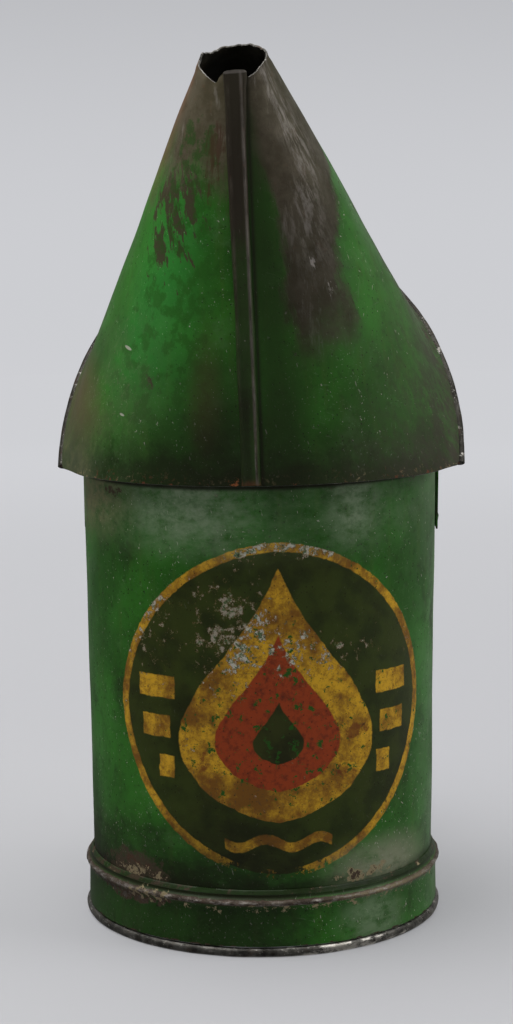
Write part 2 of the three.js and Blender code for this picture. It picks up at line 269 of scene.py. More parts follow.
class Graph:
    """The nodes of one material. place is the surface point in millimetres from the can's axis."""

    def __init__(self, name):
        self.material = bpy.data.materials.new(name)
        self.material.use_nodes = True
        self.nodes = self.material.node_tree.nodes
        self.links = self.material.node_tree.links
        self.nodes.clear()
        here = Signal(self, self.add("TexCoord").outputs["Object"])
        self.place = self.vector("MULTIPLY_ADD", here, (1000.0,) * 3, tuple(-CAN_AXIS))
        self.x, self.y, self.z = self.split(self.place)

    def feed(self, socket, value):
        if isinstance(value, Signal):
            self.links.new(value.socket, socket)
        else:
            socket.default_value = value

    def add(self, kind, *values, **settings):
        """A node of that kind, with its settings made and its first inputs fed."""
        node = self.nodes.new(f"ShaderNode{kind}")
        for name, setting in settings.items():
            setattr(node, name, setting)
        for socket, value in zip(node.inputs, values):
            self.feed(socket, value)
        return node

    def maths(self, operation, *values):
        return Signal(self, self.add("Math", *values, operation=operation).outputs[0])

    def vector(self, operation, *values):
        node = self.add("VectorMath", *values, operation=operation)
        is_number = operation == "DOT_PRODUCT"
        return Signal(self, node.outputs["Value" if is_number else "Vector"])

    def most(self, first, *others):
        """The largest of some numbers."""
        for other in others:
            first = self.maths("MAXIMUM", first, other)
        return first

    def azimuth(self):
        """Angle round the can from its front, in radians, growing towards +X."""
        return self.maths("ARCTAN2", self.x, self.y * -1)

    def split(self, vector):
        return [Signal(self, output) for output in self.add("SeparateXYZ", vector).outputs]

    def join(self, x, y, z=0.0):
        return Signal(self, self.add("CombineXYZ", x, y, z).outputs[0])

    def turn(self, vector, degrees):
        """The vector rotated by angles about X, Y and Z."""
        node = self.add("VectorRotate", vector, rotation_type="EULER_XYZ")
        node.inputs["Rotation"].default_value = [math.radians(angle) for angle in degrees]
        return Signal(self, node.outputs[0])

    def scaled(self, size, seed, vector=None):
        """The place, or another vector, in units of a size. Each seed moves it elsewhere."""
        sizes = size if isinstance(size, tuple) else (size, size, size)
        shift = (seed * 3.71, seed * 5.13, seed * 1.97)
        place = self.place if vector is None else vector
        return self.vector("MULTIPLY_ADD", place, tuple(1 / value for value in sizes), shift)

    def noise(self, size, seed, detail=3, rough=0.55, twist=0.0, vector=None):
        """Noise about 0.5, with features of that size in millimetres.

        detail is its number of finer layers, and rough is how strong they are.
        """
        node = self.add("TexNoise", self.scaled(size, seed, vector))
        node.inputs["Scale"].default_value = 1.0
        node.inputs["Detail"].default_value = detail
        node.inputs["Roughness"].default_value = rough
        node.inputs["Distortion"].default_value = twist
        return Signal(self, node.outputs[0])

    def patch(self, across, up, middle, half, soft=0.6):
        """1 at the middle of an ellipse on the surface, 0 outside it."""
        a = (across - middle[0]) / half[0]
        b = (up - middle[1]) / half[1]
        distance = self.maths("SQRT", a * a + b * b)
        return distance.fade(1 + soft, 1 - soft)

    def round_back(self, angle, value, behind=0.5):
        """The value, fading at the back, where an angle in radians jumps, to another one."""
        return self.blend(self.maths("COSINE", angle).fade(-0.95, -0.5), behind, value)

    def specks(self, size, share, width, seed):
        """Small dots, in that share of cells of that size, of that width in cells."""
        node = self.add("TexVoronoi", self.scaled(size, seed))
        node.inputs["Scale"].default_value = 1.0
        distance = Signal(self, node.outputs["Distance"])
        random = self.split(Signal(self, node.outputs["Color"]))[0]
        return distance.fade(width, width * 0.6) * random.fade(share + 0.01, share)

    def scratches(self, size, length, turned, level, seed):
        """Thin short lines along one direction."""
        along = self.turn(self.place, turned)
        lines = self.noise((size, size, length), seed, 1, vector=along)
        return lines.fade(level, level + 0.04)

    def mix(self, factor, first, second):
        node = self.add("Mix", factor, data_type="RGBA")
        self.feed(node.inputs[6], first)
        self.feed(node.inputs[7], second)
        return Signal(self, node.outputs[2])

    def blend(self, factor, first, second):
        node = self.add("Mix", factor, data_type="FLOAT")
        self.feed(node.inputs[2], first)
        self.feed(node.inputs[3], second)
        return Signal(self, node.outputs[0])

    def curve(self, value, points):
        """The value, in 0..1, through a smooth curve of points."""
        node = self.add("FloatCurve")
        line = node.mapping.curves[0]
        while len(line.points) < len(points):
            line.points.new(0.5, 0.5)
        for point, (x, y) in zip(line.points, points):
            point.location = (x, y)
        node.mapping.update()
        self.feed(node.inputs["Value"], value)
        return Signal(self, node.outputs[0])


class Coats:
    """A surface's look as it builds up: each coat covers part of what is below it."""

    def __init__(self, graph, base, roughness, metal=0.0):
        self.graph = graph
        self.colour = base
        self.roughness = roughness
        self.metal = metal
        self.height = 0.0

    def cover(self, mask, tint, roughness, metal=None, rise=0.0):
        """rise is the coat's height over what is below it, in millimetres."""
        self.colour = self.graph.mix(mask, self.colour, tint)
        self.roughness = self.graph.blend(mask, self.roughness, roughness)
        if metal is not None:
            self.metal = self.graph.blend(mask, self.metal, metal)
        if rise:
            self.height = mask * rise + self.height

    def layer(self, signal, start, end, share, *look, **more):
        """A coat over that share of the surface where the signal has gone from start to end."""
        self.cover(signal.fade(start, end) * share, *look, **more)

    def finish(self, specular=0.2):
        graph = self.graph
        shader = graph.add("BsdfPrincipled")
        output = graph.add("OutputMaterial")
        bump = graph.add("Bump")
        bump.inputs["Strength"].default_value = 1.0
        bump.inputs["Distance"].default_value = 0.001
        graph.feed(bump.inputs["Height"], self.height)
        graph.feed(shader.inputs["Base Color"], self.colour)
        graph.feed(shader.inputs["Roughness"], self.roughness)
        graph.feed(shader.inputs["Metallic"], self.metal)
        shader.inputs["Specular IOR Level"].default_value = specular
        graph.links.new(bump.outputs[0], shader.inputs["Normal"])
        graph.links.new(shader.outputs[0], output.inputs["Surface"])
        return graph.material


# ---- Colours ----
GREEN = colour(50, 114, 32)
GREEN_DEEP = colour(38, 86, 22)
GREEN_DUSTY = colour(86, 118, 74)
GREEN_YELLOWED = colour(66, 98, 34)
OLIVE = colour(54, 60, 20)
MUSTARD = colour(206, 160, 34)
MUSTARD_BROWN = colour(118, 78, 20)
BRICK = colour(150, 60, 22)
BRICK_DARK = colour(100, 42, 20)
UNDERCOAT = colour(188, 184, 170)
TAN = colour(150, 136, 104)
# A dark tint for grime, used also for painted shade and painted shadows.
GRIME_AND_SHADE = colour(28, 26, 14)
BROWN = colour(72, 58, 46)
WORN_DARK = colour(54, 46, 38)
WORN_GREY = colour(92, 84, 74)
WORN_PALE = colour(140, 134, 128)
RUST = colour(98, 60, 40)
RUST_DARK = colour(78, 50, 38)
RUST_BRIGHT = colour(150, 86, 48)
STEEL = colour(100, 98, 93)
STEEL_DARK = colour(50, 49, 46)
STEEL_BRIGHT = colour(184, 180, 172)
TIN = colour(138, 132, 120)
LEAD = colour(142, 139, 132)


# ---- Finishes ----
def enamel(graph, seed, dirt=0.62, ticked=0.0):
    """Old gloss enamel: uneven colour, dust, dull patches, pinholes and small chips."""
    base = graph.mix(graph.noise(34, seed + 1).fade(0.36, 0.64), GREEN, GREEN_DEEP)
    gloss = graph.blend(graph.noise(16, seed + 2).fade(0.35, 0.65), 0.33, 0.47)
    coats = Coats(graph, base, gloss)
    coats.height = graph.noise(1.6, seed + 3, 2) * 0.02 + graph.noise(9, seed + 4) * 0.10

    streaks = graph.noise((2.2, 2.2, 26), seed + 5, 4).fade(0.50, 0.72)
    coats.cover(streaks * 0.35, GREEN_YELLOWED, 0.5)
    dust = graph.noise(11, seed + 6, 7, 0.72).fade(0.52, 0.72)
    coats.cover(dust * 0.34, GREEN_DUSTY, 0.58)
    grime = graph.noise(19, seed + 7, 8, 0.70, twist=0.6).fade(0.50, 0.72)
    coats.cover(grime * dirt, GRIME_AND_SHADE, 0.55)
    mottle = graph.noise(2.4, seed + 16, 7, 0.74).fade(0.50, 0.68)
    coats.cover(mottle * 0.35, GRIME_AND_SHADE, 0.5)

    coats.cover(graph.specks(1.3, 0.30, 0.22, seed + 8) * 0.75, GRIME_AND_SHADE, 0.7, rise=-0.03)
    nicks = graph.noise((0.9, 0.9, 1.3), seed + 9, 2, 0.6)
    thinned = graph.noise(14, seed + 17, 2).fade(0.42, 0.58) * 0.05
    coats.layer(nicks + thinned, 0.755, 0.775, 0.8, UNDERCOAT, 0.6, rise=-0.03)
    drifts = graph.noise(16, seed + 24, 2).fade(0.36, 0.62)
    level = 0.785 - drifts * 0.035 - ticked
    for number, turned in enumerate(((0, 15, 0), (35, 0, 20), (-50, 20, 0))):
        ticks = graph.scratches(0.5, 3.0, turned, level, seed + 20 + number)
        coats.cover(ticks * 0.7, UNDERCOAT, 0.6, rise=-0.02)
    chips = graph.noise(5.5, seed + 10, 8, 0.72)
    coats.layer(chips, 0.690, 0.705, 1, BROWN, 0.62, 0.3, rise=-0.06)
    coats.layer(chips, 0.735, 0.750, 1, WORN_GREY, 0.45, 0.7, rise=-0.03)
    for number, turned in enumerate(((20, 8, 0), (-35, 70, 20), (80, -30, 0))):
        lines = graph.scratches(0.5, 9, turned, 0.715, seed + 11 + number)
        coats.cover(lines * 0.6, GREEN_DUSTY, 0.6, rise=-0.02)
    return coats


def worn_metal(graph, seed):
    """Colour, roughness and metal of sheet from which the enamel has long been rubbed."""
    blotches = graph.noise(7, seed, 7, 0.66)
    tint = graph.mix(blotches.fade(0.38, 0.62), WORN_DARK, WORN_GREY)
    rubbed = graph.noise((2.4, 2.4, 13), seed + 1, 6, 0.7)
    tint = graph.mix(rubbed.fade(0.56, 0.70), tint, WORN_PALE)
    rust = graph.noise(4, seed + 2, 7, 0.7).fade(0.58, 0.72)
    tint = graph.mix(rust * 0.7, tint, RUST)
    roughness = graph.blend(blotches.fade(0.3, 0.7), 0.62, 0.40)
    metal = graph.blend(rust, 0.45, 0.05)
    return tint, roughness, metal


def add_edge_rust(coats, edge, seed, border_tint=RUST):
    """Bare metal where edge is near 1, with a broken border of chips or rust."""
    graph = coats.graph
    border = edge + (graph.noise(3.2, seed, 7, 0.68) - 0.5) * 1.5
    tint, roughness, metal = worn_metal(graph, seed + 1)
    coats.layer(border, 0.62, 0.72, 1, border_tint, 0.75, 0.0, rise=-0.05)
    coats.layer(border, 0.78, 0.90, 1, tint, roughness, metal, rise=-0.03)


def add_knocks(coats, seed, where=1.0, more=0.0):
    """Old knocks, brown at their rims and grey metal in their middles."""
    knocks = coats.graph.noise(6, seed, 9, 0.76) + more
    coats.layer(knocks, 0.600, 0.620, where * 0.9, BROWN, 0.7, 0.2, rise=-0.05)
    coats.layer(knocks, 0.645, 0.660, where, WORN_GREY, 0.5, 0.5, rise=-0.02)
    return knocks


# A drop's half widths from its foot to its tip, both as shares.
DROP_OUTLINE = [
    (0, 0), (0.05, 0.42), (0.17, 0.84), (0.31, 1), (0.48, 0.85), (0.68, 0.48), (0.86, 0.17), (1, 0),
]


def sign_shapes(graph, u, v):
    """The sign's yellow parts, its red drop, that drop's core and the field inside its ring."""
    ring_radius = 47.0
    side = abs(u)
    roundness = 1.8  # a little less than the 2 of a true ellipse
    powers = [graph.maths("POWER", abs(part), roundness) for part in (u, v)]
    radius = graph.maths("POWER", powers[0] + powers[1], 1 / roundness)

    def drop(low, high, half_width):
        height = (v - low) / (high - low)
        width = graph.curve(height, DROP_OUTLINE) * half_width
        return (side - width).fade(0.25, -0.25) * height.within(0.5, 0.5, 0.003)

    # The ring's foot is nearly all rubbed away.
    gone = graph.patch(u, v, (-7, -49), (22, 6), 0.5)
    traces = graph.noise(2.6, 40, 7, 0.72)
    yellow = radius.within(ring_radius, 1.25, 0.2) * (traces - gone * 0.22).fade(0.34, 0.40)
    yellow = graph.most(yellow, drop(-32, 41, 28))
    for height, outer_end in ((6, 41), (-5.5, 40), (-17, 34.5)):
        inner_end = 31.0 - abs(height + 7) * 0.14
        length = (outer_end - inner_end) / 2
        bar = v.within(height, 3.2, 0.2) * side.within(inner_end + length, length, 0.2)
        yellow = graph.most(yellow, bar)
    wave = graph.maths("SINE", u * 0.42) * 1.3
    wavy_line = (v + wave).within(-38.0, 1.5, 0.2) * side.within(0, 15, 0.2)
    yellow = graph.most(yellow, wavy_line)
    field = radius.fade(ring_radius + 0.2, ring_radius - 0.2)
    return yellow, drop(-23, 22, 17.5), drop(-15, 3, 7), field


def flake_sign(coats, u, v, yellow, field):
    """The print has flaked: undercoat at the upper left, enamel in small flecks all over."""
    graph = coats.graph
    sign = graph.most(yellow, field * 0.55)
    flakes = graph.noise(3.4, 36, 9, 0.78)
    upper_left = graph.patch(u, v, (-14, 24), (12, 16), 0.8)
    band_top = graph.patch(u, v, (12, 17), (24, 6), 0.8) * 0.75
    rim_top = graph.patch(u, v, (8, 47), (30, 5), 0.6) * 0.8
    rim_left = graph.patch(u, v, (-36, 25), (12, 18), 0.8) * 0.7
    pale = graph.most(upper_left, band_top, rim_top, rim_left)
    loss = flakes + (pale - 1) * 0.19 - field * (1.0 - yellow) * 0.05
    shreds = graph.noise(1.3, 42, 6, 0.72)
    coats.layer(loss, 0.44, 0.47, sign, MUSTARD_BROWN, 0.62, rise=-0.02)
    coats.layer(loss, 0.46, 0.50, sign, UNDERCOAT, 0.62, rise=-0.03)
    shredded = loss.fade(0.45, 0.50) * shreds.fade(0.50, 0.56)
    coats.cover(shredded * 0.85, GREEN_DEEP, 0.5, rise=-0.02)
    coats.cover(shredded * shreds.fade(0.60, 0.64), GRIME_AND_SHADE, 0.5, rise=-0.02)
    bits = graph.noise(2.6, 37, 8, 0.72)
    centre = graph.patch(u, v, (4, -3), (40, 34), 0.5)
    bits = bits + (centre - 1) * 0.08
    coats.layer(bits, 0.585, 0.600, yellow, GREEN_DEEP, 0.42, rise=-0.02)
    coats.cover(graph.specks(1.3, 0.35, 0.20, 38) * field * 0.7, GRIME_AND_SHADE, 0.7)

    stain = graph.noise(6, 39, 7, 0.7)
    for middle, half in (((19, -19), (6, 4)), ((23, -7), (5, 4)), ((-20, -16), (4, 6))):
        blot = graph.patch(u, v, middle, half, 0.8) + (stain - 0.5) * 2.4
        coats.layer(blot, 0.85, 1.10, yellow * 0.7, BRICK_DARK, 0.6)


def print_sign(coats):
    """Generic sign: a yellow ring and an olive field, with an oil drop between stripes."""
    graph = coats.graph
    middle_angle = math.radians(10.2)
    middle_height = 70.7
    radius = 49.7  # under the wall's own, which makes the sign a little wider than high
    jitter = (graph.noise(2.2, 31) - 0.5) * 0.9
    u = (graph.azimuth() - middle_angle) * radius + jitter
    v = graph.z - middle_height + (graph.noise(2.4, 32) - 0.5) * 0.9
    yellow, red, core, field = sign_shapes(graph, u, v)

    aged = graph.noise(13, 33, 7, 0.7)
    fine = graph.noise(2.0, 34, 7, 0.75)
    print_yellow = graph.mix(aged.fade(0.40, 0.62), MUSTARD, MUSTARD_BROWN)
    print_yellow = graph.mix(fine.fade(0.46, 0.64) * 0.7, print_yellow, MUSTARD_BROWN)
    pepper = graph.noise(0.9, 41, 5, 0.7)
    print_yellow = graph.mix(pepper.fade(0.56, 0.66) * 0.6, print_yellow, BROWN)
    print_red = graph.mix(fine.fade(0.45, 0.68), BRICK, BRICK_DARK)
    print_olive = graph.mix(graph.noise(8, 35, 6).fade(0.4, 0.65) * 0.6, OLIVE, GRIME_AND_SHADE)

    coats.cover(field * 0.93, print_olive, 0.42, rise=0.01)
    coats.cover(yellow, print_yellow, 0.50, rise=0.02)
    coats.cover(red * yellow, print_red, 0.52)
    coats.cover(core * yellow, print_olive, 0.5)
    flake_sign(coats, u, v, yellow, field)


def soil_wall_foot(coats, around, rust, smear):
    """Dust, grime and rust on the wall just over the foot band."""
    graph = coats.graph
    paler_patch = graph.patch(around, graph.z, (44, 22), (16, 7), 0.8) * smear.fade(-0.30, 0.0)
    coats.cover(paler_patch * 0.85, colour(140, 142, 118), 0.65)
    skirt = (graph.z + smear * 6).fade(22.5, 19.5)
    coats.cover(skirt * (0.55 - paler_patch * 0.4), GRIME_AND_SHADE, 0.6)
    rusted = graph.patch(around, graph.z, (-38, 21.5), (16, 6), 0.8) + (rust - 0.5) * 2.6
    coats.layer(rusted, 0.62, 0.90, 0.85, BROWN, 0.72, rise=-0.03)
    coats.layer(rusted, 1.02, 1.14, 0.8, RUST_DARK, 0.8)
    for place, half in (((33, 21.0), (7, 2.6)), ((43, 21.5), (8, 2.4)), ((-37, 20.5), (12, 2.6))):
        patch = graph.patch(around, graph.z, place, half, 0.9) + (rust - 0.5) * 4.2
        coats.layer(patch, 0.88, 1.00, 0.9, TAN, 0.7, rise=-0.05)
        coats.layer(patch, 1.15, 1.3, 1, BROWN, 0.75, rise=-0.03)


def wall_finish():
    """The wall's enamel and sign. around is millimetres round the wall from its front."""
    graph = Graph("wall_enamel")
    coats = enamel(graph, 0, ticked=graph.z.fade(90, 25) * 0.03 + 0.005)
    print_sign(coats)
    azimuth = graph.azimuth()
    around = azimuth * WALL_RADIUS_MEAN

    # Rust and darkening under the hood's edge, rust over the foot band.
    rust = graph.noise(4.5, 51, 8, 0.74)
    upper = graph.z.fade(122, 136)
    lower = graph.z.fade(34, 17)
    left = graph.round_back(azimuth, around.fade(-20, -48))
    ends = graph.most(upper * 0.75, lower * (left * 0.6 + 0.5))
    border = rust + (ends - 1) * 0.20
    coats.layer(border, 0.52, 0.56, 0.85, BROWN, 0.68, 0.1, rise=-0.03)
    coats.layer(border, 0.60, 0.63, 1, TAN, 0.7, 0.0, rise=-0.04)
    coats.layer(border, 0.66, 0.69, 1, RUST, 0.8, 0.0, rise=-0.03)
    # Darker towards the top, under the hood's edge.
    darkening = (graph.z + (graph.noise(9, 52) - 0.5) * 10).fade(129, 138)
    coats.cover(darkening * 0.6, GRIME_AND_SHADE, 0.6)

    # Pale scuffs and a painted sheen round the top, the sheen strongest in two bands of painted
    # highlight, and painted shade with grime low down at the left.
    scuffs = graph.noise((6, 6, 4), 53, 8, 0.74)
    scuffs_and_sheen = scuffs.fade(0.26, 0.70) * graph.z.fade(110, 127)
    sheen_bands = around.within(-16, 14, 14)
    sheen_bands = graph.most(sheen_bands, around.within(32, 5, 8) * 1.2)
    coats.cover(scuffs_and_sheen * (sheen_bands * 0.8 + 0.28), colour(126, 146, 114), 0.6)
    far_left = graph.patch(around, graph.z, (-60, 128), (18, 12), 0.8)
    coats.cover(far_left * scuffs_and_sheen * 0.8, colour(134, 124, 88), 0.65)
    smear = graph.noise((14, 14, 8), 54, 7, 0.7) - 0.5
    left_half = graph.round_back(azimuth, (around + smear * 50).fade(24, -14))
    # Painted shade, with some grime, darkening the lower left.
    low_left = (graph.z + smear * 30).fade(46, 20) * left_half
    coats.cover(low_left * 0.75, GRIME_AND_SHADE, 0.6)

    # The back is grimier and more knocked about than the front.
    behind = graph.y.fade(4, 34)
    coats.cover(behind * smear.fade(-0.14, 0.12) * 0.55, GRIME_AND_SHADE, 0.55)
    knocks = add_knocks(coats, 55, behind, behind * 0.03)
    coats.layer(knocks, 0.680, 0.695, behind, TAN, 0.7, 0.0)

    low = (graph.z + smear * 30).fade(34, 16)
    coats.cover(low * 0.35, GRIME_AND_SHADE, 0.6)
    corner = graph.patch(around, graph.z, (-42, 131), (7, 3), 0.9) + (rust - 0.5) * 3.4
    coats.layer(corner, 0.9, 1.1, 0.9, BROWN, 0.75, rise=-0.03)
    shadow_line = (graph.z - graph.x * LOWER_EDGE_TILT).fade(133.0, 134.2)
    coats.cover(shadow_line * 0.9, GRIME_AND_SHADE, 0.7)
    soil_wall_foot(coats, around, rust, smear)
    return coats.finish()


def hood_places(graph):
    """Depth below the hood's apex along its axis, and distances to its front and its right."""
    from_apex = graph.vector("SUBTRACT", graph.place, tuple(APEX))
    directions = (HOOD_AXIS, HOOD_FRONT, HOOD_RIGHT)
    return [graph.vector("DOT_PRODUCT", from_apex, tuple(direction)) for direction in directions]


def wear_hood_top(coats, angle, depth, flat, right_half, drift):
    """Handling has worn the top all round, and a patch that tapers down right of the seam."""
    graph = coats.graph
    ragged = graph.noise((1.5, 8, 1), 72, 7, 0.7, vector=flat) - 0.5
    tint, roughness, metal = worn_metal(graph, 73)
    top = (depth + drift * 44 + ragged * 22 + right_half * 8 - 8).fade(50, 28)
    patch_middle = depth.fade(80, 46) * 24 + 35
    patch_half = depth.fade(72, 36) * 30 + 17
    patch_width = abs(angle - patch_middle + drift * 24 + ragged * 16)
    patch_right = (patch_width - patch_half).fade(5, -4)
    patch_right = patch_right * (depth + drift * 26).fade(97, 80)
    bare = graph.most(top, patch_right)
    beside_seam = (angle + ragged * 5).within(12, 8, 7)
    beside_seam = beside_seam * depth.fade(27, 34)
    shade_right = (angle + drift * 24).within(32, 28, 14) * depth.fade(128, 60)
    coats.cover(shade_right * 0.5, GRIME_AND_SHADE, 0.5)
    scrape = graph.patch(angle, depth, (-44, 56), (24, 20), 0.8)
    strokes = graph.turn(flat, (0, 0, 32))
    strokes = graph.noise((2.6, 7.5, 1), 74, 5, 0.66, vector=strokes)
    scraped = (strokes + (scrape - 1) * 0.3).fade(0.43, 0.48)
    coats.cover(scraped * 0.9, BROWN, 0.6, 0.2, rise=-0.02)
    dark_bare = graph.mix(right_half * 0.45, graph.mix(0.25, tint, TAN), tint)
    dark_bare = graph.mix(right_half * 0.55, dark_bare, WORN_DARK)
    coats.cover(bare * 0.94, dark_bare, roughness, metal, rise=-0.05)
    coats.cover(beside_seam * 0.75, graph.mix(0.3, GRIME_AND_SHADE, GREEN_DEEP), 0.5, 0.0)
    islands = graph.noise(5, 75, 6, 0.66)
    island_zone = angle.within(-34, 24, 8) * depth.fade(27, 38)
    coats.layer(islands + (island_zone - 1) * 0.2, 0.48, 0.57, 0.6, GREEN_DEEP, 0.45)
    ruddy = graph.patch(angle, depth, (-15, 43), (13, 12), 0.9) + drift * 3.0 + ragged * 1.6
    coats.layer(ruddy, 0.7, 1.0, 0.75, RUST_DARK, 0.65, 0.1)
    rubbed = graph.noise((1.9, 6, 1), 76, 7, 0.72, vector=flat)
    sooty = patch_right * (depth + drift * 14).fade(48, 72)
    coats.cover(sooty * 0.45, GRIME_AND_SHADE, 0.6)
    # Rubbed pale metal with a painted highlight over it, up the right flank.
    highlight_middle = depth.fade(66, 42) * 19 + 43
    rubbed_highlight = rubbed.fade(0.44, 0.64) * (angle - highlight_middle + drift * 30).within(0, 12, 12)
    coats.cover(rubbed_highlight * bare * depth.fade(84, 48) * 0.6, WORN_PALE, 0.45, 0.3)
    scuff = graph.patch(angle - (depth - 75) * 0.5, depth, (41, 75), (4, 7), 0.9)
    scuffed = (rubbed + (scuff - 1) * 0.3).fade(0.50, 0.56)
    coats.cover(scuffed * 0.8, WORN_PALE, 0.45, 0.4)
    orange = angle.within(-84, 10, 12) * depth.fade(66, 44)
    coats.cover(orange * 0.30, RUST_BRIGHT, 0.7)


def soil_hood_edges(coats, angle, turned, flat, right_half, smudge):
    """Grime, rust and painted shade along the lower edge, and grime beside the rolled rear edge."""
    graph = coats.graph
    from_edge = graph.z - LOWER_EDGE - graph.x * LOWER_EDGE_TILT
    # Painted shade low on the front of the hood.
    shadowed = (from_edge + smudge * 30).fade(62, 4) * angle.within(-2, 34, 22)
    coats.cover(shadowed * 0.45, GRIME_AND_SHADE, 0.5)
    hem = (from_edge + smudge * 34).fade(17, 1)
    coats.cover(hem * 0.72, GRIME_AND_SHADE, 0.58, 0.1)
    dust = smudge.fade(-0.02, 0.16) * from_edge.fade(16, 3) * angle.fade(-46, -66)
    coats.cover(dust * 0.6, TAN, 0.75)
    rear_point, rear_normal = REAR_PLANE
    to_rear = graph.vector("SUBTRACT", graph.place, tuple(rear_point))
    to_rear = graph.vector("DOT_PRODUCT", to_rear, tuple(rear_normal))
    rim_start = graph.round_back(turned, angle.fade(0, 40), 0.2) * -18 - 26
    rim = (to_rear + smudge * 26).fade(rim_start, -3)
    worn_rim = graph.noise((1.4, 5, 1), 84, 7, 0.74, vector=flat)
    rim = rim * (worn_rim.fade(0.38, 0.60) * 0.45 + 0.5)
    rim_tint = graph.mix(right_half, colour(76, 84, 60), graph.mix(0.35, GRIME_AND_SHADE, WORN_GREY))
    coats.cover(rim, rim_tint, 0.55, 0.2)
    add_edge_rust(coats, from_edge.fade(3.0, 0.2) * 0.55, 78)
    crumbs = graph.noise(1.2, 82, 6, 0.7)
    crumbs = crumbs.fade(0.57, 0.62) * (from_edge + smudge * 6).fade(4.5, 0.8)
    crumbs = crumbs * (abs(angle).fade(12, 45) * 0.5 + 0.2)
    coats.cover(crumbs, graph.mix(smudge.fade(-0.1, 0.1), RUST, TAN), 0.75)


def mark_hood(coats, angle, depth, turned, flat, smudge):
    """Rust spots, knocks, stains, chips and scratches at their own places."""
    graph = coats.graph
    spots = graph.noise(3.0, 80, 8, 0.74)
    coats.layer(spots, 0.70, 0.72, 1, RUST, 0.75, rise=-0.05)
    add_knocks(coats, 85, graph.maths("COSINE", turned).fade(0.2, -0.2))

    # Stains low down at the left, two white chips and a scratched patch.
    murk = graph.patch(angle, depth, (-52, 104), (20, 16), 0.8) * smudge.fade(-0.16, 0.10)
    coats.cover(murk * 0.40, graph.mix(0.5, GREEN_DUSTY, BROWN), 0.6)
    red_stain = graph.patch(angle, depth, (-14, 99), (5, 12), 0.9)
    coats.cover(red_stain * 0.30, RUST_DARK, 0.55)
    corner = graph.patch(angle, depth, (-74, 116), (16, 9), 0.8)
    coats.cover(corner * 0.5, colour(104, 82, 58), 0.65)
    for middle, half in (((-52, 94.5), (2.6, 0.45)), ((-46, 111), (1.3, 0.35))):
        chip = graph.patch(angle, depth, middle, half, 0.9)
        coats.layer(chip, 0.45, 0.75, 0.7, UNDERCOAT, 0.6, rise=-0.04)
    scratched = graph.patch(angle, depth, (-60, 104), (20, 20), 0.8)
    for seed, tilt in ((83, -28), (86, 24)):
        fibres = graph.turn(flat, (0, 0, tilt))
        fibres = graph.noise((0.5, 2.6, 1), seed, 5, 0.74, vector=fibres)
        coats.layer(fibres, 0.56, 0.70, scratched * 0.4, colour(124, 126, 100), 0.65)
    for middle, half, tint in (((-37, 100), (4, 3.4), BROWN), ((-3, 122.5), (5, 2), RUST_BRIGHT)):
        spot = graph.patch(angle, depth, middle, half, 0.9) + (spots - 0.5) * 3.2
        coats.layer(spot, 0.95, 1.10, 0.85, tint, 0.7, rise=-0.05)


def hood_finish():
    """The hood's enamel: painted light at the left, rubbed bare at the top, grimy at its edges, with
    painted shade beside the seam and low at the front.
    """
    graph = Graph("hood_enamel")
    coats = enamel(graph, 60, dirt=0.25, ticked=graph.z.fade(190, 145) * 0.02)
    depth, ahead, across = hood_places(graph)
    turned = graph.maths("ARCTAN2", across, ahead)
    angle = turned * math.degrees(1)
    right_half = graph.round_back(turned, angle.fade(-12, 12))
    flat = graph.join(angle * 0.55, depth, 0.0)
    drift = graph.noise(15, 71, 5, 0.6) - 0.5
    smudge = graph.noise(12, 77, 7, 0.68) - 0.5

    # Painted light: a brighter, glossier green on the left flank, where the key light falls.
    lit_left_flank = angle.within(-42, 18, 16) * depth.within(78, 26, 14)
    coats.cover(lit_left_flank * 0.5, colour(56, 150, 62), 0.36)
    wear_hood_top(coats, angle, depth, flat, right_half, drift)
    # Painted shadow along the right edge of the front seam.
    seam_shadow = across.within(4.1, 0.5, 0.6) * ahead.fade(0, 5)
    coats.cover(seam_shadow * 0.8, GRIME_AND_SHADE, 0.7)
    # Painted shade, with grime, left of the seam low down.
    left_of_seam = (angle + drift * 20).within(-8, 9, 10) * depth.fade(84, 106)
    coats.cover(left_of_seam * 0.55, GRIME_AND_SHADE, 0.5)
    soil_hood_edges(coats, angle, turned, flat, right_half, smudge)
    mark_hood(coats, angle, depth, turned, flat, smudge)
    return coats.finish()


def plain_enamel_finish(name, seed, edge):
    """Enamel for the smaller pieces. edge gives a graph's bare parts, from 0 to 1."""
    graph = Graph(name)
    coats = enamel(graph, seed, ticked=0.01)
    smear = graph.noise((11, 11, 8), seed + 30, 7, 0.7)
    coats.layer(smear, 0.40, 0.62, 0.5, GRIME_AND_SHADE, 0.55)
    add_knocks(coats, seed + 31)
    add_edge_rust(coats, edge(graph), seed + 40, BROWN)
    return coats.finish()


def band_edge(graph):
    """Bare metal on the foot band's bead, and down from it at the left."""
    azimuth = graph.azimuth()
    left = graph.patch(azimuth, graph.z, (-0.72, BEAD_HEIGHT - 1.5), (0.40, 3.4), 0.7)
    bead = graph.z.within(BEAD_HEIGHT + 0.3, 0.85, 0.6)
    foot = graph.z.fade(4.0, 3.2) * 0.6
    return graph.most(bead, left * 0.8, foot)


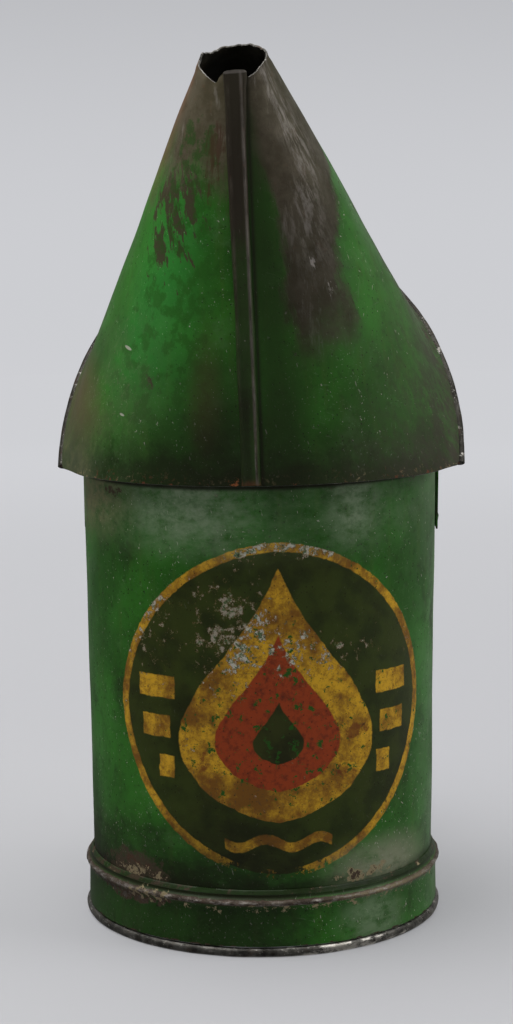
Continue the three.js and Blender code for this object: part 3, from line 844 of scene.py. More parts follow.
def band_finish():
    """The foot band's enamel: painted shade with grime at the left, a paler patch at the right, flaked
    beside its bead.
    """
    graph = Graph("band_enamel")
    coats = enamel(graph, 100, ticked=0.03)
    azimuth = graph.azimuth()
    around = azimuth * (BAND_RADIUS + 0.1)
    smear = graph.noise((9, 9, 5), 141, 7, 0.7) - 0.5
    # Painted shade, with grime, over the left half.
    left_half = graph.round_back(azimuth, (around + smear * 40).fade(28, 4), 0.6)
    coats.cover(left_half * 0.66, GRIME_AND_SHADE, 0.5)
    coats.layer(graph.z, BEAD_HEIGHT + 0.9, BEAD_HEIGHT + 1.7, 0.8, GRIME_AND_SHADE, 0.5)
    # A paler patch at the right.
    paler_patch = graph.patch(around, graph.z, (39, 8), (10, 7), 0.7)
    coats.cover(paler_patch * smear.fade(-0.20, 0.10) * 0.8, colour(118, 142, 106), 0.6)
    flakes = graph.noise(2.6, 142, 8, 0.74)
    beside = graph.z.within(BEAD_HEIGHT - 1.0, 2.4, 2.2)
    coats.layer(flakes + (beside - 1) * 0.2, 0.545, 0.575, 1, TAN, 0.7, rise=-0.05)
    add_edge_rust(coats, band_edge(graph), 143, BROWN)
    crest = graph.z.within(BEAD_HEIGHT + 0.2, 0.5, 0.6)
    rubbed = graph.noise((2.6, 2.6, 0.9), 144, 7, 0.72)
    stained = graph.z.within(BEAD_HEIGHT + 0.3, 0.8, 0.5) * (0.55 - crest * 0.5)
    coats.cover(stained, BROWN, 0.7, 0.1)
    pale_right = around.within(48, 20, 12)
    coats.cover(pale_right * crest * 0.6, TAN, 0.6, 0.1)
    coats.layer(rubbed, 0.47, 0.60, crest * 0.8, WORN_PALE, 0.42, 0.5)
    coats.layer(rubbed, 0.60, 0.66, crest * 0.85, STEEL_BRIGHT, 0.36, 0.6)
    flaked = graph.patch(around, graph.z, (-32, BEAD_HEIGHT - 0.5), (17, 3.5), 0.8)
    flaked = flaked + (flakes - 0.5) * 3.4
    coats.layer(flaked, 1.05, 1.2, 0.85, TAN, 0.7, rise=-0.03)
    coats.layer(flaked, 1.35, 1.5, 0.85, RUST_DARK, 0.7)
    grains = graph.noise(0.8, 145, 5, 0.7)
    coats.layer(grains, 0.58, 0.66, crest * 0.8, GRIME_AND_SHADE, 0.7)
    return coats.finish()


def painted_solder_finish():
    """Solder over the foot band, painted with the can: dark, grimy enamel with bare spots."""
    graph = Graph("painted_solder")
    coats = enamel(graph, 220)
    coats.height = graph.noise(2.0, 221, 3) * 0.22 + coats.height
    coats.cover(0.8, GRIME_AND_SHADE, 0.5)
    bare = graph.noise(4, 222, 7, 0.68)
    left = graph.x.fade(0, -30) * 0.08
    coats.layer(bare + left, 0.56, 0.62, 0.85, BROWN, 0.6, 0.2)
    coats.layer(bare, 0.62, 0.66, 1, TAN, 0.65, 0.0)
    return coats.finish()


def collar_edge(graph):
    low = graph.z.fade(COLLAR_BOTTOM + 2.2, COLLAR_BOTTOM)
    high = graph.z.fade(COLLAR_TOP - 2.5, COLLAR_TOP)
    return graph.most(low, high) * 0.9


def strap_edge(graph):
    """Bare metal along the strap's edges and where a hand has rubbed its grip."""
    edges = abs(graph.x).fade(7.5, 10.2)
    grip = graph.z.within(104, 30, 16) * graph.y.fade(80, 88) * 0.72
    return graph.most(edges * 0.9, grip)


def hood_seam_finish():
    """Enamel worn off the hood's folded seam: dark at the tip, with one crest rubbed bright."""
    graph = Graph("hood_seam_enamel")
    coats = enamel(graph, 105)
    tint, roughness, metal = worn_metal(graph, 106)
    depth, _, across = hood_places(graph)
    drift = graph.noise((3, 3, 16), 107, 6, 0.66) - 0.5
    coats.cover(0.5, GRIME_AND_SHADE, 0.5)
    high = (depth + drift * 40).fade(74, 52) * 0.55 + 0.4
    coats.cover(high, WORN_DARK, 0.55, 0.2)
    right_crest = across.within(2.6, 0.35, 0.35) * drift.fade(-0.30, -0.06)
    left_crest = across.within(-1.15, 0.35, 0.4) * drift.fade(-0.16, 0.10)
    left_crest = left_crest * depth.fade(112, 80)
    for worn in (right_crest * 0.85, left_crest * 0.7):
        coats.cover(worn, tint, roughness, metal, rise=-0.03)
    coats.cover(right_crest * drift.fade(-0.12, 0.12) * 0.4, WORN_PALE, 0.4, 0.4)
    lower_left = across.fade(1.8, 0.6) * depth.fade(84, 108)
    coats.cover(lower_left * 0.5, GRIME_AND_SHADE, 0.6)
    coats.layer(depth, 21.75, 21.45, 0.5, WORN_PALE, 0.4, 0.5)
    coats.layer(depth + drift * 4, 121.5, 123.5, 0.6, RUST, 0.7)
    return coats.finish()


def side_seam_edge(graph):
    return abs(graph.x).within(2.3, 0.2, 0.5) * 0.8


def mottled_metal(name, mottle, spread, tints, gloss, metal, grain, height):
    """Coats over bare metal of two tints.

    mottle is the noise that leads from the first tint and roughness to the second, and grain
    is the noise of the surface, which rises by that height in millimetres.
    """
    graph = Graph(name)
    blotches = graph.noise(*mottle)
    base = graph.mix(blotches.fade(*spread), *tints)
    coats = Coats(graph, base, graph.blend(blotches, *gloss), metal)
    coats.height = graph.noise(*grain) * height
    return graph, coats


def worn_edge_finish(name, seed, remains=0.35, dark=0.0, rusty=0.4, highlight_right=0.0):
    """Rolled edge: dark oxide, rubbed bright in places, with remains of enamel in its lee.

    remains, dark and rusty are the shares of enamel, dirt and rust; the last argument is a painted
    highlight: how much brighter the front right is made.
    """
    graph, coats = mottled_metal(
        name, (5, seed, 7, 0.68), (0.36, 0.62), (STEEL_DARK, STEEL), (0.55, 0.35), metal=0.6,
        grain=(1.1, seed + 1, 5, 0.65), height=0.12,
    )
    coats.cover(dark, GRIME_AND_SHADE, 0.5)
    rubbed = graph.noise((5, 5, 1.6), seed + 2, 6, 0.7)
    # Painted highlight on the front right.
    if highlight_right:
        rubbed = rubbed + graph.x.within(27, 11, 16) * highlight_right
    coats.layer(rubbed, 0.58, 0.70, 1, STEEL_BRIGHT, 0.34, 0.8)
    rust = graph.noise(3.2, seed + 3, 8, 0.72)
    coats.layer(rust, 0.53, 0.60, rusty, BROWN, 0.75, 0.2, rise=0.02)
    coats.layer(rust, 0.61, 0.68, rusty, RUST, 0.85, 0.0, rise=0.02)
    paint = graph.noise(7, seed + 4, 7, 0.66)
    level = 0.70 - remains * 0.4
    coats.layer(paint, level, level + 0.03, 0.8, GREEN_DEEP, 0.42, 0.0, rise=0.06)
    dirt = graph.noise(1.4, seed + 5, 6, 0.7)
    coats.layer(dirt, 0.54, 0.66, 0.75, GRIME_AND_SHADE, 0.7, 0.1)
    glints = graph.noise(0.7, seed + 6, 3, 0.6)
    coats.layer(glints, 0.66, 0.70, 0.8, STEEL_BRIGHT, 0.34, 0.6)
    return coats.finish()


def tin_finish(name, seed, dark=0.0):
    """Dull tinplate inside the can: stained, streaked and oily."""
    graph, coats = mottled_metal(
        name, (9, seed, 7, 0.66), (0.34, 0.66), (TIN, STEEL_DARK), (0.42, 0.60), metal=0.6,
        grain=(2.2, seed + 1, 4), height=0.05,
    )
    oil = graph.noise((8, 8, 30), seed + 2, 6, 0.64)
    coats.layer(oil, 0.44, 0.60, 0.8, GRIME_AND_SHADE, 0.36, 0.2)
    rust = graph.noise(4, seed + 3, 8, 0.72)
    coats.layer(rust, 0.54, 0.62, 1, BROWN, 0.75, 0.1, rise=0.02)
    coats.layer(rust, 0.63, 0.68, 1, RUST, 0.85, 0.0, rise=0.02)
    if dark:
        darkening = graph.noise(18, seed + 4, 4).fade(0.0, 0.9)
        coats.cover(graph.blend(darkening, dark, 0.95), GRIME_AND_SHADE, 0.6, 0.0)
    return coats.finish()


def wire_finish():
    graph, coats = mottled_metal(
        "iron_wire", (3, 200, 6, 0.68), (0.38, 0.62), (STEEL_DARK, STEEL), (0.48, 0.48), metal=0.75,
        grain=(0.9, 201, 4), height=0.08,
    )
    rust = graph.noise(2.4, 202, 8, 0.72)
    coats.layer(rust, 0.48, 0.58, 1, RUST, 0.85, 0.0, rise=0.03)
    return coats.finish()


def solder_finish():
    graph, coats = mottled_metal(
        "soft_solder", (5, 210, 6, 0.66), (0.36, 0.64), (LEAD, STEEL), (0.34, 0.58), metal=0.75,
        grain=(2.0, 211, 3), height=0.22,
    )
    stain = graph.noise(6, 212, 8, 0.7)
    coats.layer(stain, 0.50, 0.60, 0.85, BROWN, 0.7, 0.1)
    coats.layer(stain, 0.40, 0.34, 1, GREEN_DEEP, 0.45, 0.0, rise=0.04)
    return coats.finish()


# ---- Meshes ----
def add_object(name, data):
    thing = bpy.data.objects.new(name, data)
    bpy.context.scene.collection.objects.link(thing)
    return thing


def mesh_object(name, work, materials, sharp=None):
    """Object with smooth faces. sharp, in degrees, turns them outward and keeps sharper edges."""
    mesh = bpy.data.meshes.new(name)
    if sharp:
        bmesh.ops.recalc_face_normals(work, faces=work.faces)
    for face in work.faces:
        face.smooth = True
    work.to_mesh(mesh)
    work.free()
    if sharp:
        mesh.set_sharp_from_angle(angle=math.radians(sharp))
    for material in materials:
        mesh.materials.append(material)
    return add_object(name, mesh)


def join_rings(work, rings, steps):
    """Faces between rings of vertices. A ring of one vertex is a centre."""
    for first, second in zip(rings, rings[1:]):
        for k in range(steps):
            places = ((first, k), (second, k), (second, k + 1), (first, k + 1))
            corners = [ring[place % len(ring)] for ring, place in places]
            work.faces.new(list(dict.fromkeys(corners)))


def stand_for(piece, node):
    """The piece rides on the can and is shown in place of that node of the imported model."""
    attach(piece, "root")
    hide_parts(node)


def add_piece(node, name, rows, materials, columns=None, ring=False, sharp=38):
    """Closed skin over rows of closed sections, in millimetres from the can's axis.

    It is shown in place of that node. ring joins the last row to the first; otherwise both ends
    are capped. columns gives each section edge's index into materials.
    """
    count, across = rows.shape[:2]
    work = bmesh.new()
    points = (rows.reshape(-1, 3) + CAN_AXIS) / 1000
    vertices = [work.verts.new(point) for point in points]
    for row in range(count if ring else count - 1):
        start = row * across
        following = (row + 1) % count * across
        for column in range(across):
            beside = (column + 1) % across
            face = work.faces.new([
                vertices[start + column],
                vertices[start + beside],
                vertices[following + beside],
                vertices[following + column],
            ])
            face.material_index = columns[column] if columns else 0
    if not ring:
        work.faces.new(vertices[:across])
        work.faces.new(vertices[-across:])
    stand_for(mesh_object(name, work, materials, sharp), node)


def turned_rows(profile, steps=256, bumps=None):
    """Rows of a section turned about the can's axis. bumps adds to the radius at each point."""
    profile = np.asarray(profile, float)
    angles = -math.pi + 2 * math.pi * np.arange(steps) / steps
    rows = around_axis(angles[:, None], profile[None, :, 0], profile[None, :, 1])
    return pushed(rows, around_axis(angles, 1.0, 0.0), bumps(rows)) if bumps else rows


def swept_rows(path, first, second, section):
    """Rows of a section carried along a path; first and second are its two directions there."""
    first = np.broadcast_to(first, path.shape)
    second = np.broadcast_to(second, path.shape)
    section = np.asarray(section, float)
    if section.ndim == 2:
        section = np.broadcast_to(section, (len(path), *section.shape))
    run = first[:, None] * section[..., :1] + second[:, None] * section[..., 1:]
    return path[:, None] + run


def disc_section(radius, steps=16):
    return arc(radius, 2 * math.pi * np.arange(steps) / steps)


def curl_section(radius, thickness, slit_at, slit=50, steps=22):
    """C-shaped section of an edge rolled round a wire, open at slit_at degrees."""
    start = math.radians(slit_at + slit / 2)
    end = math.radians(slit_at + 360 - slit / 2)
    run = np.linspace(start, end, steps)
    middle = radius - thickness / 2
    lip = math.radians(5)
    return np.concatenate([
        arc(radius, run),
        arc(middle, [end + lip]),
        arc(radius - thickness, run[::-1]),
        arc(middle, [start - lip]),
    ])


def sheet_section(outer, inner, rounding=0.15):
    """Columns of a thin sheet's section, from its outer and inner faces, with rounded edges."""
    first_edge = (outer[:, :1] + inner[:, :1]) / 2
    last_edge = (outer[:, -1:] + inner[:, -1:]) / 2
    first_run = unit(outer[:, :1] - outer[:, 1:2])
    last_run = unit(outer[:, -1:] - outer[:, -2:-1])
    return np.concatenate([
        outer,
        last_edge + last_run * rounding,
        inner[:, ::-1],
        first_edge + first_run * rounding,
    ], 1)


def sheet_columns(count, edge=0):
    """Slots round a sheet's section: 0 on its outer face, 1 on its inner one, edge at its ends."""
    return [0] * (count - 1) + [edge] * 2 + [1] * (count - 1) + [edge] * 2


def bent_sheet(angles, radius, heights, thickness, bulge, sway=None):
    """Rows of a sheet bent round the can's axis, pushed outward by bulge and upward by sway."""
    outer = around_axis(angles[:, None], radius, heights[None])
    away = around_axis(angles, 1.0, 0.0)
    outer = pushed(outer, away, bulge(outer))
    if sway:
        outer[..., 2] += sway(outer)
    return sheet_section(outer, outer - away[:, None] * thickness)


# ---- Body ----
def wall_dents(points):
    """Outward bulge of the wall: soft dents, none where other sheets lie on it."""
    x, y, z = points[..., 0], points[..., 1], points[..., 2]
    free_top = np.where(y > 0, ease(115, 104, z), ease(134, 120, z))
    free = ease(18.5, 30, z) * free_top * (1 - ease(44, 50, y) * ease(9, 4, np.abs(x)))
    soft = wobble(points, 42, 1) * 0.42 + wobble(points, 15, 2) * 0.10
    return soft * free


def build_wall(outside, inside, edge):
    heights = np.linspace(WALL_BOTTOM, WALL_TOP, 92)
    angles = np.linspace(-math.pi, math.pi, 257)[:-1]
    rows = bent_sheet(angles, wall_radius(heights)[None], heights, SHEET, wall_dents)
    columns = sheet_columns(len(heights), edge=2)
    materials = [outside, inside, edge]
    add_piece("body_shell", "wall_sheet", rows, materials, columns, ring=True)


def build_mouth(roll_finish, wire):
    """Rear half of the mouth, rolled outward round a wire."""
    height = WALL_TOP + GAP + MOUTH_ROLL
    angles = np.linspace(math.pi / 2, 3 * math.pi / 2, 130)
    away = around_axis(angles, 1.0, 0.0)
    sway = wobble(away * 52, 16, 5) * 0.12
    path = around_axis(angles, WALL_RADIUS_TOP + GAP + sway, height)
    rows = swept_rows(path, away, UPWARD, curl_section(MOUTH_ROLL, 0.5, 215))
    add_piece("mouth_roll", "mouth_rolled_edge", rows, [roll_finish])
    rows = swept_rows(path, away, UPWARD, disc_section(MOUTH_WIRE))
    add_piece("mouth_wire", "mouth_iron_wire", rows, [wire])


def build_collar(outside, inside):
    """Band round the back of the mouth, with a small bead pressed into its lower edge."""
    heights = np.linspace(COLLAR_BOTTOM, COLLAR_TOP, 44)
    angles = np.linspace(math.pi / 2 + 0.001, 3 * math.pi / 2 - 0.001, 140)
    bead = np.exp(-(((heights - COLLAR_BOTTOM - 3.2) / 1.0) ** 2)) * 0.55
    ends = ease(0, 0.12, angles - angles[0]) * ease(0, 0.12, angles[-1] - angles)
    radius = (wall_radius(heights) + GAP + SHEET)[None] + bead[None] * ends[:, None]
    rows = bent_sheet(angles, radius, heights, SHEET, lambda at: wobble(at, 14, 7) * 0.10)
    columns = sheet_columns(len(heights))
    add_piece("rear_collar", "collar_sheet", rows, [outside, inside], columns)


def lock_seam_height(share, height, groove):
    """Height of a folded seam at a share of its width: two rounded ridges and a groove."""
    flanks = ease(0, 0.13, share) * ease(1, 0.87, share)
    ridges = np.abs(np.sin(2 * math.pi * share)) ** 0.7
    return -0.4 + (0.4 + height - groove) * flanks + groove * ridges


def channel_seam_height(share, height, groove):
    """Height of a flattened seam: a channel between a low left rib and a sharper right one."""
    flanks = ease(0, 0.12, share) * ease(1, 0.92, share)
    left_rib = np.exp(-(((share - 0.17) / 0.10) ** 2)) * 0.8
    right_rib = np.exp(-(((share - 0.84) / 0.085) ** 2))
    return -0.4 + (0.4 + height - groove) * flanks + groove * (left_rib + right_rib)


def build_side_seam(finish):
    """Folded seam up the back of the body."""
    heights = np.linspace(SIDE_SEAM_BOTTOM, COLLAR_BOTTOM - GAP, 60)
    share = np.linspace(0, 1, 25)
    lift = lock_seam_height(share, SIDE_SEAM_RISE + GAP, 0.35)
    across = (share - 0.5) * SIDE_SEAM_WIDTH
    angles = math.pi - across[None, :] / 52
    rows = around_axis(angles, wall_radius(heights)[:, None] + lift[None, :], heights[:, None])
    rows[..., 1] += wobble(rows, 9, 9) * 0.07
    add_piece("body_side_seam", "back_lock_seam", rows, [finish])


# ---- Base ----
def band_profile():
    """Outer face of the foot band from its foot to its top, with the bead under its neck."""
    neck = BEAD_HEIGHT - 3.2
    below_neck = np.linspace(BAND_BOTTOM, neck, 14)
    z = np.concatenate([below_neck, np.linspace(neck + 0.3, BAND_TOP, 28)])
    below = BAND_RADIUS - 0.15 * ease(BAND_BOTTOM, neck, z)
    lip = wall_radius(BAND_TOP) + GAP + BAND_SHEET
    base = below + (lip - below) * ease(BEAD_HEIGHT, BEAD_HEIGHT + 1.8, z)
    bead = np.exp(-(((z - BEAD_HEIGHT) / 1.15) ** 2)) * 0.98
    return base + bead, z


def on_bead(points):
    """1 at the height of the foot band's bead, 0 well away from it."""
    return np.exp(-(((points[..., 2] - BEAD_HEIGHT) / 1.6) ** 2))


def band_dents(points):
    return wobble(points, 22, 11) * 0.20 + wobble(points, 4.5, 12) * (0.03 + 0.16 * on_bead(points))


def bead_waves(points):
    return wobble(points * [1, 1, 0.05], 17, 13) * 0.35 * on_bead(points)


def roll_dents(points):
    return wobble(points, 7, 15) * 0.13 + wobble(points, 2.4, 16) * 0.05


def build_base(band, foot_roll, wire, painted_solder, solder, tin):
    radius, heights = band_profile()
    angles = np.linspace(-math.pi, math.pi, 321)[:-1]
    rows = bent_sheet(angles, radius[None], heights, BAND_SHEET, band_dents, bead_waves)
    columns = sheet_columns(len(heights))
    add_piece("foot_band", "foot_band_sheet", rows, [band, tin], columns, ring=True)

    ring_middle = np.array([FOOT_RING, FOOT_ROLL - FOOT_FLAT])
    rows = turned_rows(curl_section(FOOT_ROLL, 0.5, 120) + ring_middle, 320, roll_dents)
    rows[..., 2] += wobble(rows, 9, 17) * 0.10
    rows[..., 2] = np.maximum(rows[..., 2], 0.0)
    add_piece("foot_roll", "foot_rolled_edge", rows, [foot_roll], ring=True)
    rows = turned_rows(disc_section(FOOT_WIRE) + ring_middle)
    add_piece("foot_wire", "foot_iron_wire", rows, [wire], ring=True)

    fillet = [(-0.1, 0.1), (0.62, 0.1), (0.44, 0.45), (0.20, 0.85), (0.02, 1.3), (-0.25, 1.3)]
    rows = turned_rows(np.array(fillet) + [wall_radius(BAND_TOP) + GAP, BAND_TOP], 320)
    swell = wobble(rows, 3.4, 19) * 0.14 + wobble(rows, 11, 20) * 0.10
    rows[:, 1:5, 2] += swell[:, 1:5] * [0.2, 0.6, 1.2, 1.2]
    materials = [painted_solder]
    add_piece("foot_solder", "foot_solder_fillet", rows, materials, ring=True, sharp=80)

    inside = WALL_RADIUS_BOTTOM - SHEET - GAP
    to_band = BAND_RADIUS - BAND_SHEET - 0.4
    profile = [
        (inside - 0.8, 8.5), (inside - 0.2, 7.5), (inside + 0.9, 6.9), (to_band, 6.6), (to_band, 8.2),
    ]
    rows = turned_rows(profile, 320)
    rows[:, 1:3, 2] += wobble(rows, 4, 22)[:, 1:3] * 0.3
    add_piece("base_solder", "base_solder_fillet", rows, [solder], ring=True, sharp=80)
    build_base_plate(inside, tin)


def build_base_plate(inside, finish):
    """Base disc with a stepped stiffening ring and a turned-down flange."""
    radii = np.concatenate([[0.0], np.linspace(1.5, inside - 2.6, 64)])
    step = ease(29.6, 32.4, radii) * ease(46.4, 43.6, radii) * 0.5
    flange_bottom = 8.8
    bend = 1.4

    def face(depth):
        """One face, from the centre to the flange's foot, that far in from the outer face."""
        flat = np.stack([radii, PLATE_TOP - step - depth], -1)
        corner = arc(bend - depth, np.radians(np.linspace(90, 0, 7)))
        corner = corner + [inside - bend, PLATE_TOP - bend]
        return np.concatenate([flat, corner, [[inside - depth, flange_bottom]]])

    work = bmesh.new()
    steps = 192
    angles = 2 * math.pi * np.arange(steps) / steps
    rings = []
    for radius, z in np.concatenate([face(0.0), face(SHEET)[::-1]]):
        points = around_axis(angles if radius else np.zeros(1), radius, z)
        if radius:
            points[:, 2] += wobble(points, 26, 24) * 0.25 * ease(inside - 3, inside - 12, radius)
        rings.append([work.verts.new((point + CAN_AXIS) / 1000) for point in points])
    join_rings(work, rings, steps)
    disc = mesh_object("base_disc", work, [finish], sharp=50)
    stand_for(disc, "base_plate")


# ---- Hood ----
# The tip's torn edge: degrees round the hood's axis, and distance from the apex along it.
TORN_TIP = [
    (-180, 20.8), (-155, 21.0), (-130, 21.6), (-112, 20.4), (-98, 19.5), (-90, 20.2), (-80, 21.6),
    (-70, 22.0), (-50, 22.8),
    (-22, 24.4), (-19, 23.0), (-12, 21.9), (0, 21.4), (12, 21.8), (22, 22.6), (26, 23.6),
    (40, 22.8), (60, 21.4), (90, 20.6), (125, 20.6), (150, 20.2), (180, 20.8),
]


def tip_start(angle):
    """Distance from the apex, along the generator, at which the torn tip begins."""
    degrees, depths = zip(*TORN_TIP)
    depth = np.interp(np.degrees(angle), degrees, depths)
    ring = np.stack([np.cos(angle), np.sin(angle), np.zeros_like(angle)], -1)
    depth = depth + wobble(ring, 0.16, 31) * 0.30 + wobble(ring, 0.05, 32) * 0.12
    return depth / math.cos(HALF_ANGLE)


def hood_dents(points, angle, distance):
    soft = wobble(points, 36, 33) * 0.50 + wobble(points, 12, 34) * 0.16
    calm_edge = ease(0, 12, hood_end(angle) - distance)
    dent_right = np.exp(-((np.degrees(angle) - 40) / 13) ** 2 - ((distance - 72) / 16) ** 2)
    dent_tip = np.exp(-((np.degrees(angle) - 55) / 25) ** 2 - ((distance - 34) / 9) ** 2)
    return soft * (0.25 + 0.75 * calm_edge) - dent_right * 0.7 - dent_tip * 0.5


def build_hood_sheet(outside, inside, edge):
    corners = [hood_corner(-1), hood_corner(1)]
    angles = np.sort(np.concatenate([np.linspace(-math.pi, math.pi, 301)[:-1], corners]))
    start = tip_start(angles)
    end = lifted_hood_end(angles)
    share = np.linspace(0, 1, 104) ** 1.15
    distance = start[:, None] + (end - start)[:, None] * share[None, :]
    grid = np.broadcast_to(angles[:, None], distance.shape)
    base = cone_point(grid, distance)
    is_rear = reach(grid, REAR_PLANE) > 0
    to_rear = -((base - REAR_PLANE[0]) @ REAR_PLANE[1])
    flare = np.where(is_rear | (to_rear < 10), ease(4.5, 0, np.abs(to_rear)), 0.0) * HOOD_FLARE
    tip_curl = ease(5, 0, distance - start[:, None]) * (0.15 + wobble(base, 3.2, 35) * 0.45)
    lift = hood_dents(base, grid, distance) + flare + tip_curl
    outer = cone_point(grid, distance, lift)
    inner = cone_point(grid, distance, lift - SHEET)
    rows = sheet_section(outer, inner, 0.12)
    columns = sheet_columns(len(share), edge=2)
    materials = [outside, inside, edge]
    add_piece("hood_shell", "hood_sheet", rows, materials, columns, ring=True)


def build_hood_seam(finish):
    """Folded lock seam up the front: it spreads at the tip and ends in a rounded tongue."""
    start = 21.3 / math.cos(HALF_ANGLE)
    end = reach(0.0, LOWER_PLANE) - 0.2
    distance = np.linspace(start, end, 170)
    along = distance[:, None] * RIGHT
    width = np.interp(distance, [23, 36, 60, 137], [6.5, 5.9, 5.6, 5.7])
    width = width + wobble(along, 9, 41) * 0.25
    shift = np.interp(distance, [23, 45, 64, 95, 137], [0.95, 0.55, 0.6, 0.8, 0.85])
    shift = shift + wobble(along, 14, 42) * 0.15
    height = np.interp(distance, [23, 32, 60, 137], [1.7, 1.5, 1.3, 1.15])
    groove = np.interp(distance, [23, 30, 40, 137], [0.25, 0.6, 0.8, 0.7])
    share = np.linspace(0, 1, 41)
    lift = channel_seam_height(share[None, :], height[:, None], groove[:, None])
    across = (share[None, :] - 0.5) * width[:, None] + shift[:, None]
    angle = across / (distance[:, None] * math.sin(HALF_ANGLE))
    base = cone_point(angle, distance[:, None])
    # Its upper end is rounded: the sides begin lower than the middle.
    rounding = np.abs(2 * share - 1)[None, :] ** 4 * 1.5 * ease(start + 7, start, distance)[:, None]
    spread = distance[:, None] + rounding
    lift = lift + hood_dents(base, angle, spread) + wobble(base, 4, 43) * 0.06
    rows = cone_point(angle, spread, lift)
    add_piece("hood_front_seam", "hood_lock_seam", rows, [finish])


def build_hood_edge(roll_finish, wire):
    """Rolled rear edge: it lies in a plane parallel to the rear cut."""
    normal = REAR_PLANE[1]
    clear = math.radians(1.7)
    angles = np.linspace(hood_corner(1) + clear, 2 * math.pi + hood_corner(-1) - clear, 240)
    path = cone_point(angles, reach(angles, REAR_PLANE), HOOD_FLARE) + normal * (HOOD_ROLL + GAP)
    path = path + cone_normal(angles) * (wobble(path, 12, 51) * 0.18)[:, None]
    tangent = unit(np.gradient(path, axis=0))
    away = unit(np.cross(normal, tangent))
    away = away * np.sign((away * cone_normal(angles)).sum(-1, keepdims=True))
    section = curl_section(HOOD_ROLL, 0.5, 215)
    rows = swept_rows(path, away, normal, section)
    rows = pushed(rows, away, wobble(rows, 3.5, 52) * 0.08)
    add_piece("hood_edge_roll", "hood_rolled_edge", rows, [roll_finish])
    rows = swept_rows(path, away, normal, disc_section(HOOD_WIRE))
    add_piece("hood_edge_wire", "hood_iron_wire", rows, [wire])


def build_hood_solder(finish):
    """Solder between the body's top and the inside of the hood, round the front."""
    angles = np.linspace(-HOOD_SOLDER_REACH, HOOD_SOLDER_REACH, 180)
    levels = np.linspace(HOOD_SOLDER_BOTTOM, HOOD_SOLDER_TOP, 8)

    def to_cone(angle, z):
        """Distance from the can's axis to the hood's inner face, at that angle and height."""
        def is_inside(distance):
            offset = around_axis(angle, distance, z) - APEX
            depth = offset @ HOOD_AXIS
            side = np.linalg.norm(offset - HOOD_AXIS * depth)
            return side * math.cos(HALF_ANGLE) - depth * math.sin(HALF_ANGLE) < -SHEET - GAP

        return turning_point(40.0, 90.0, is_inside)

    rows = []
    for angle in angles:
        inner = [around_axis(angle, float(wall_radius(z)) + GAP, z) for z in levels]
        outer = []
        for z in levels[::-1]:
            near = float(wall_radius(z)) + GAP + 0.25
            outer.append(around_axis(angle, max(to_cone(angle, z), near), z))
        rows.append(inner + outer)
    rows = np.array(rows, float)
    rows[:, [0, -1], 2] += wobble(rows, 5, 55)[:, [0, -1]] * 0.5
    rows[:, [7, 8], 2] += wobble(rows, 5, 56)[:, [7, 8]] * 0.4
    add_piece("hood_solder", "hood_solder_fillet", rows, [finish], sharp=60)


# ---- Handle ----
def handle_route():
    """The strap's middle line: distances from the can's axis and heights, densely."""
    upper = float(wall_radius(RIVET_HEIGHTS["upper"])) + GAP + SHEET + GAP + STRAP_SHEET / 2
    lower = float(wall_radius(RIVET_HEIGHTS["lower"])) + GAP + SIDE_SEAM_RISE + GAP + STRAP_SHEET / 2
    points = np.array([
        [upper, 121], [upper, 126], [upper, 131], [upper + 3, 137.5], [upper + 13, 141],
        [upper + 26, 138], [upper + 35, 127], [upper + 37, 110], [upper + 35, 90],
        [upper + 29, 71], [upper + 17, 57], [lower + 5, 48.5], [lower, 42], [lower, 37], [lower, 32],
    ])
    padded = np.concatenate([[2 * points[0] - points[1]], points, [2 * points[-1] - points[-2]]])
    fine = []
    for a, b, c, d in zip(padded, padded[1:], padded[2:], padded[3:]):
        for t in np.linspace(0, 1, 17)[:-1]:
            fine.append(0.5 * (
                2 * b + (c - a) * t + (2 * a - 5 * b + 4 * c - d) * t ** 2
                + (3 * b - a - 3 * c + d) * t ** 3
            ))
    fine.append(points[-1])
    return np.array(fine), upper, lower


def build_handle(strap_finish, edge_finish, rivet_finish):
    route, upper, lower = handle_route()
    path = np.stack([np.zeros(len(route)), route[:, 0], route[:, 1]], -1)
    tangent = unit(np.gradient(path, axis=0))
    away = unit(np.cross(tangent, RIGHT))
    away = away * np.sign(away[len(away) // 2, 1])
    # Towards the rivets the strap lies flat; between them it is crowned.
    crown = ease(upper + 2, upper + 16, route[:, 0]) * 0.55
    half = STRAP_WIDTH / 2 + 0.15
    places = np.linspace(-half, half, 21)
    arch = crown[:, None] * (1 - (places / half) ** 2)
    top = np.stack([np.broadcast_to(places, arch.shape), arch + STRAP_SHEET / 2], -1)
    under = top - np.array([0, STRAP_SHEET])
    edge_right = np.broadcast_to([half + 0.12, 0.0], (len(path), 1, 2))
    edge_left = edge_right * [-1, 1]
    section = np.concatenate([top, edge_right, under[:, ::-1], edge_left], 1)
    rows = swept_rows(path, RIGHT, away, section)
    rows = pushed(rows, away, wobble(rows, 13, 61) * 0.16 * ease(0.1, 0.5, crown)[:, None])
    add_piece("handle_strap", "handle_strap_sheet", rows, [strap_finish])

    for name, side in (("left", -1), ("right", 1)):
        edge_path = path + RIGHT * side * (STRAP_WIDTH / 2 + GAP + STRAP_EDGE)
        rows = swept_rows(edge_path, RIGHT, away, disc_section(STRAP_EDGE, 20))
        rows = pushed(rows, away, wobble(rows, 5, 63 + side) * 0.09)
        node = f"handle_edge_wire_{name}"
        add_piece(node, f"handle_rolled_edge_{name}", rows, [edge_finish])

    faces = {"upper": upper + STRAP_SHEET / 2, "lower": lower + STRAP_SHEET / 2}
    for level, z in RIVET_HEIGHTS.items():
        for name, side in (("left", -1), ("right", 1)):
            node = f"handle_rivet_{level}_{name}"
            build_rivet(node, side * RIVET_SPREAD, z, faces[level] + 0.1, rivet_finish)


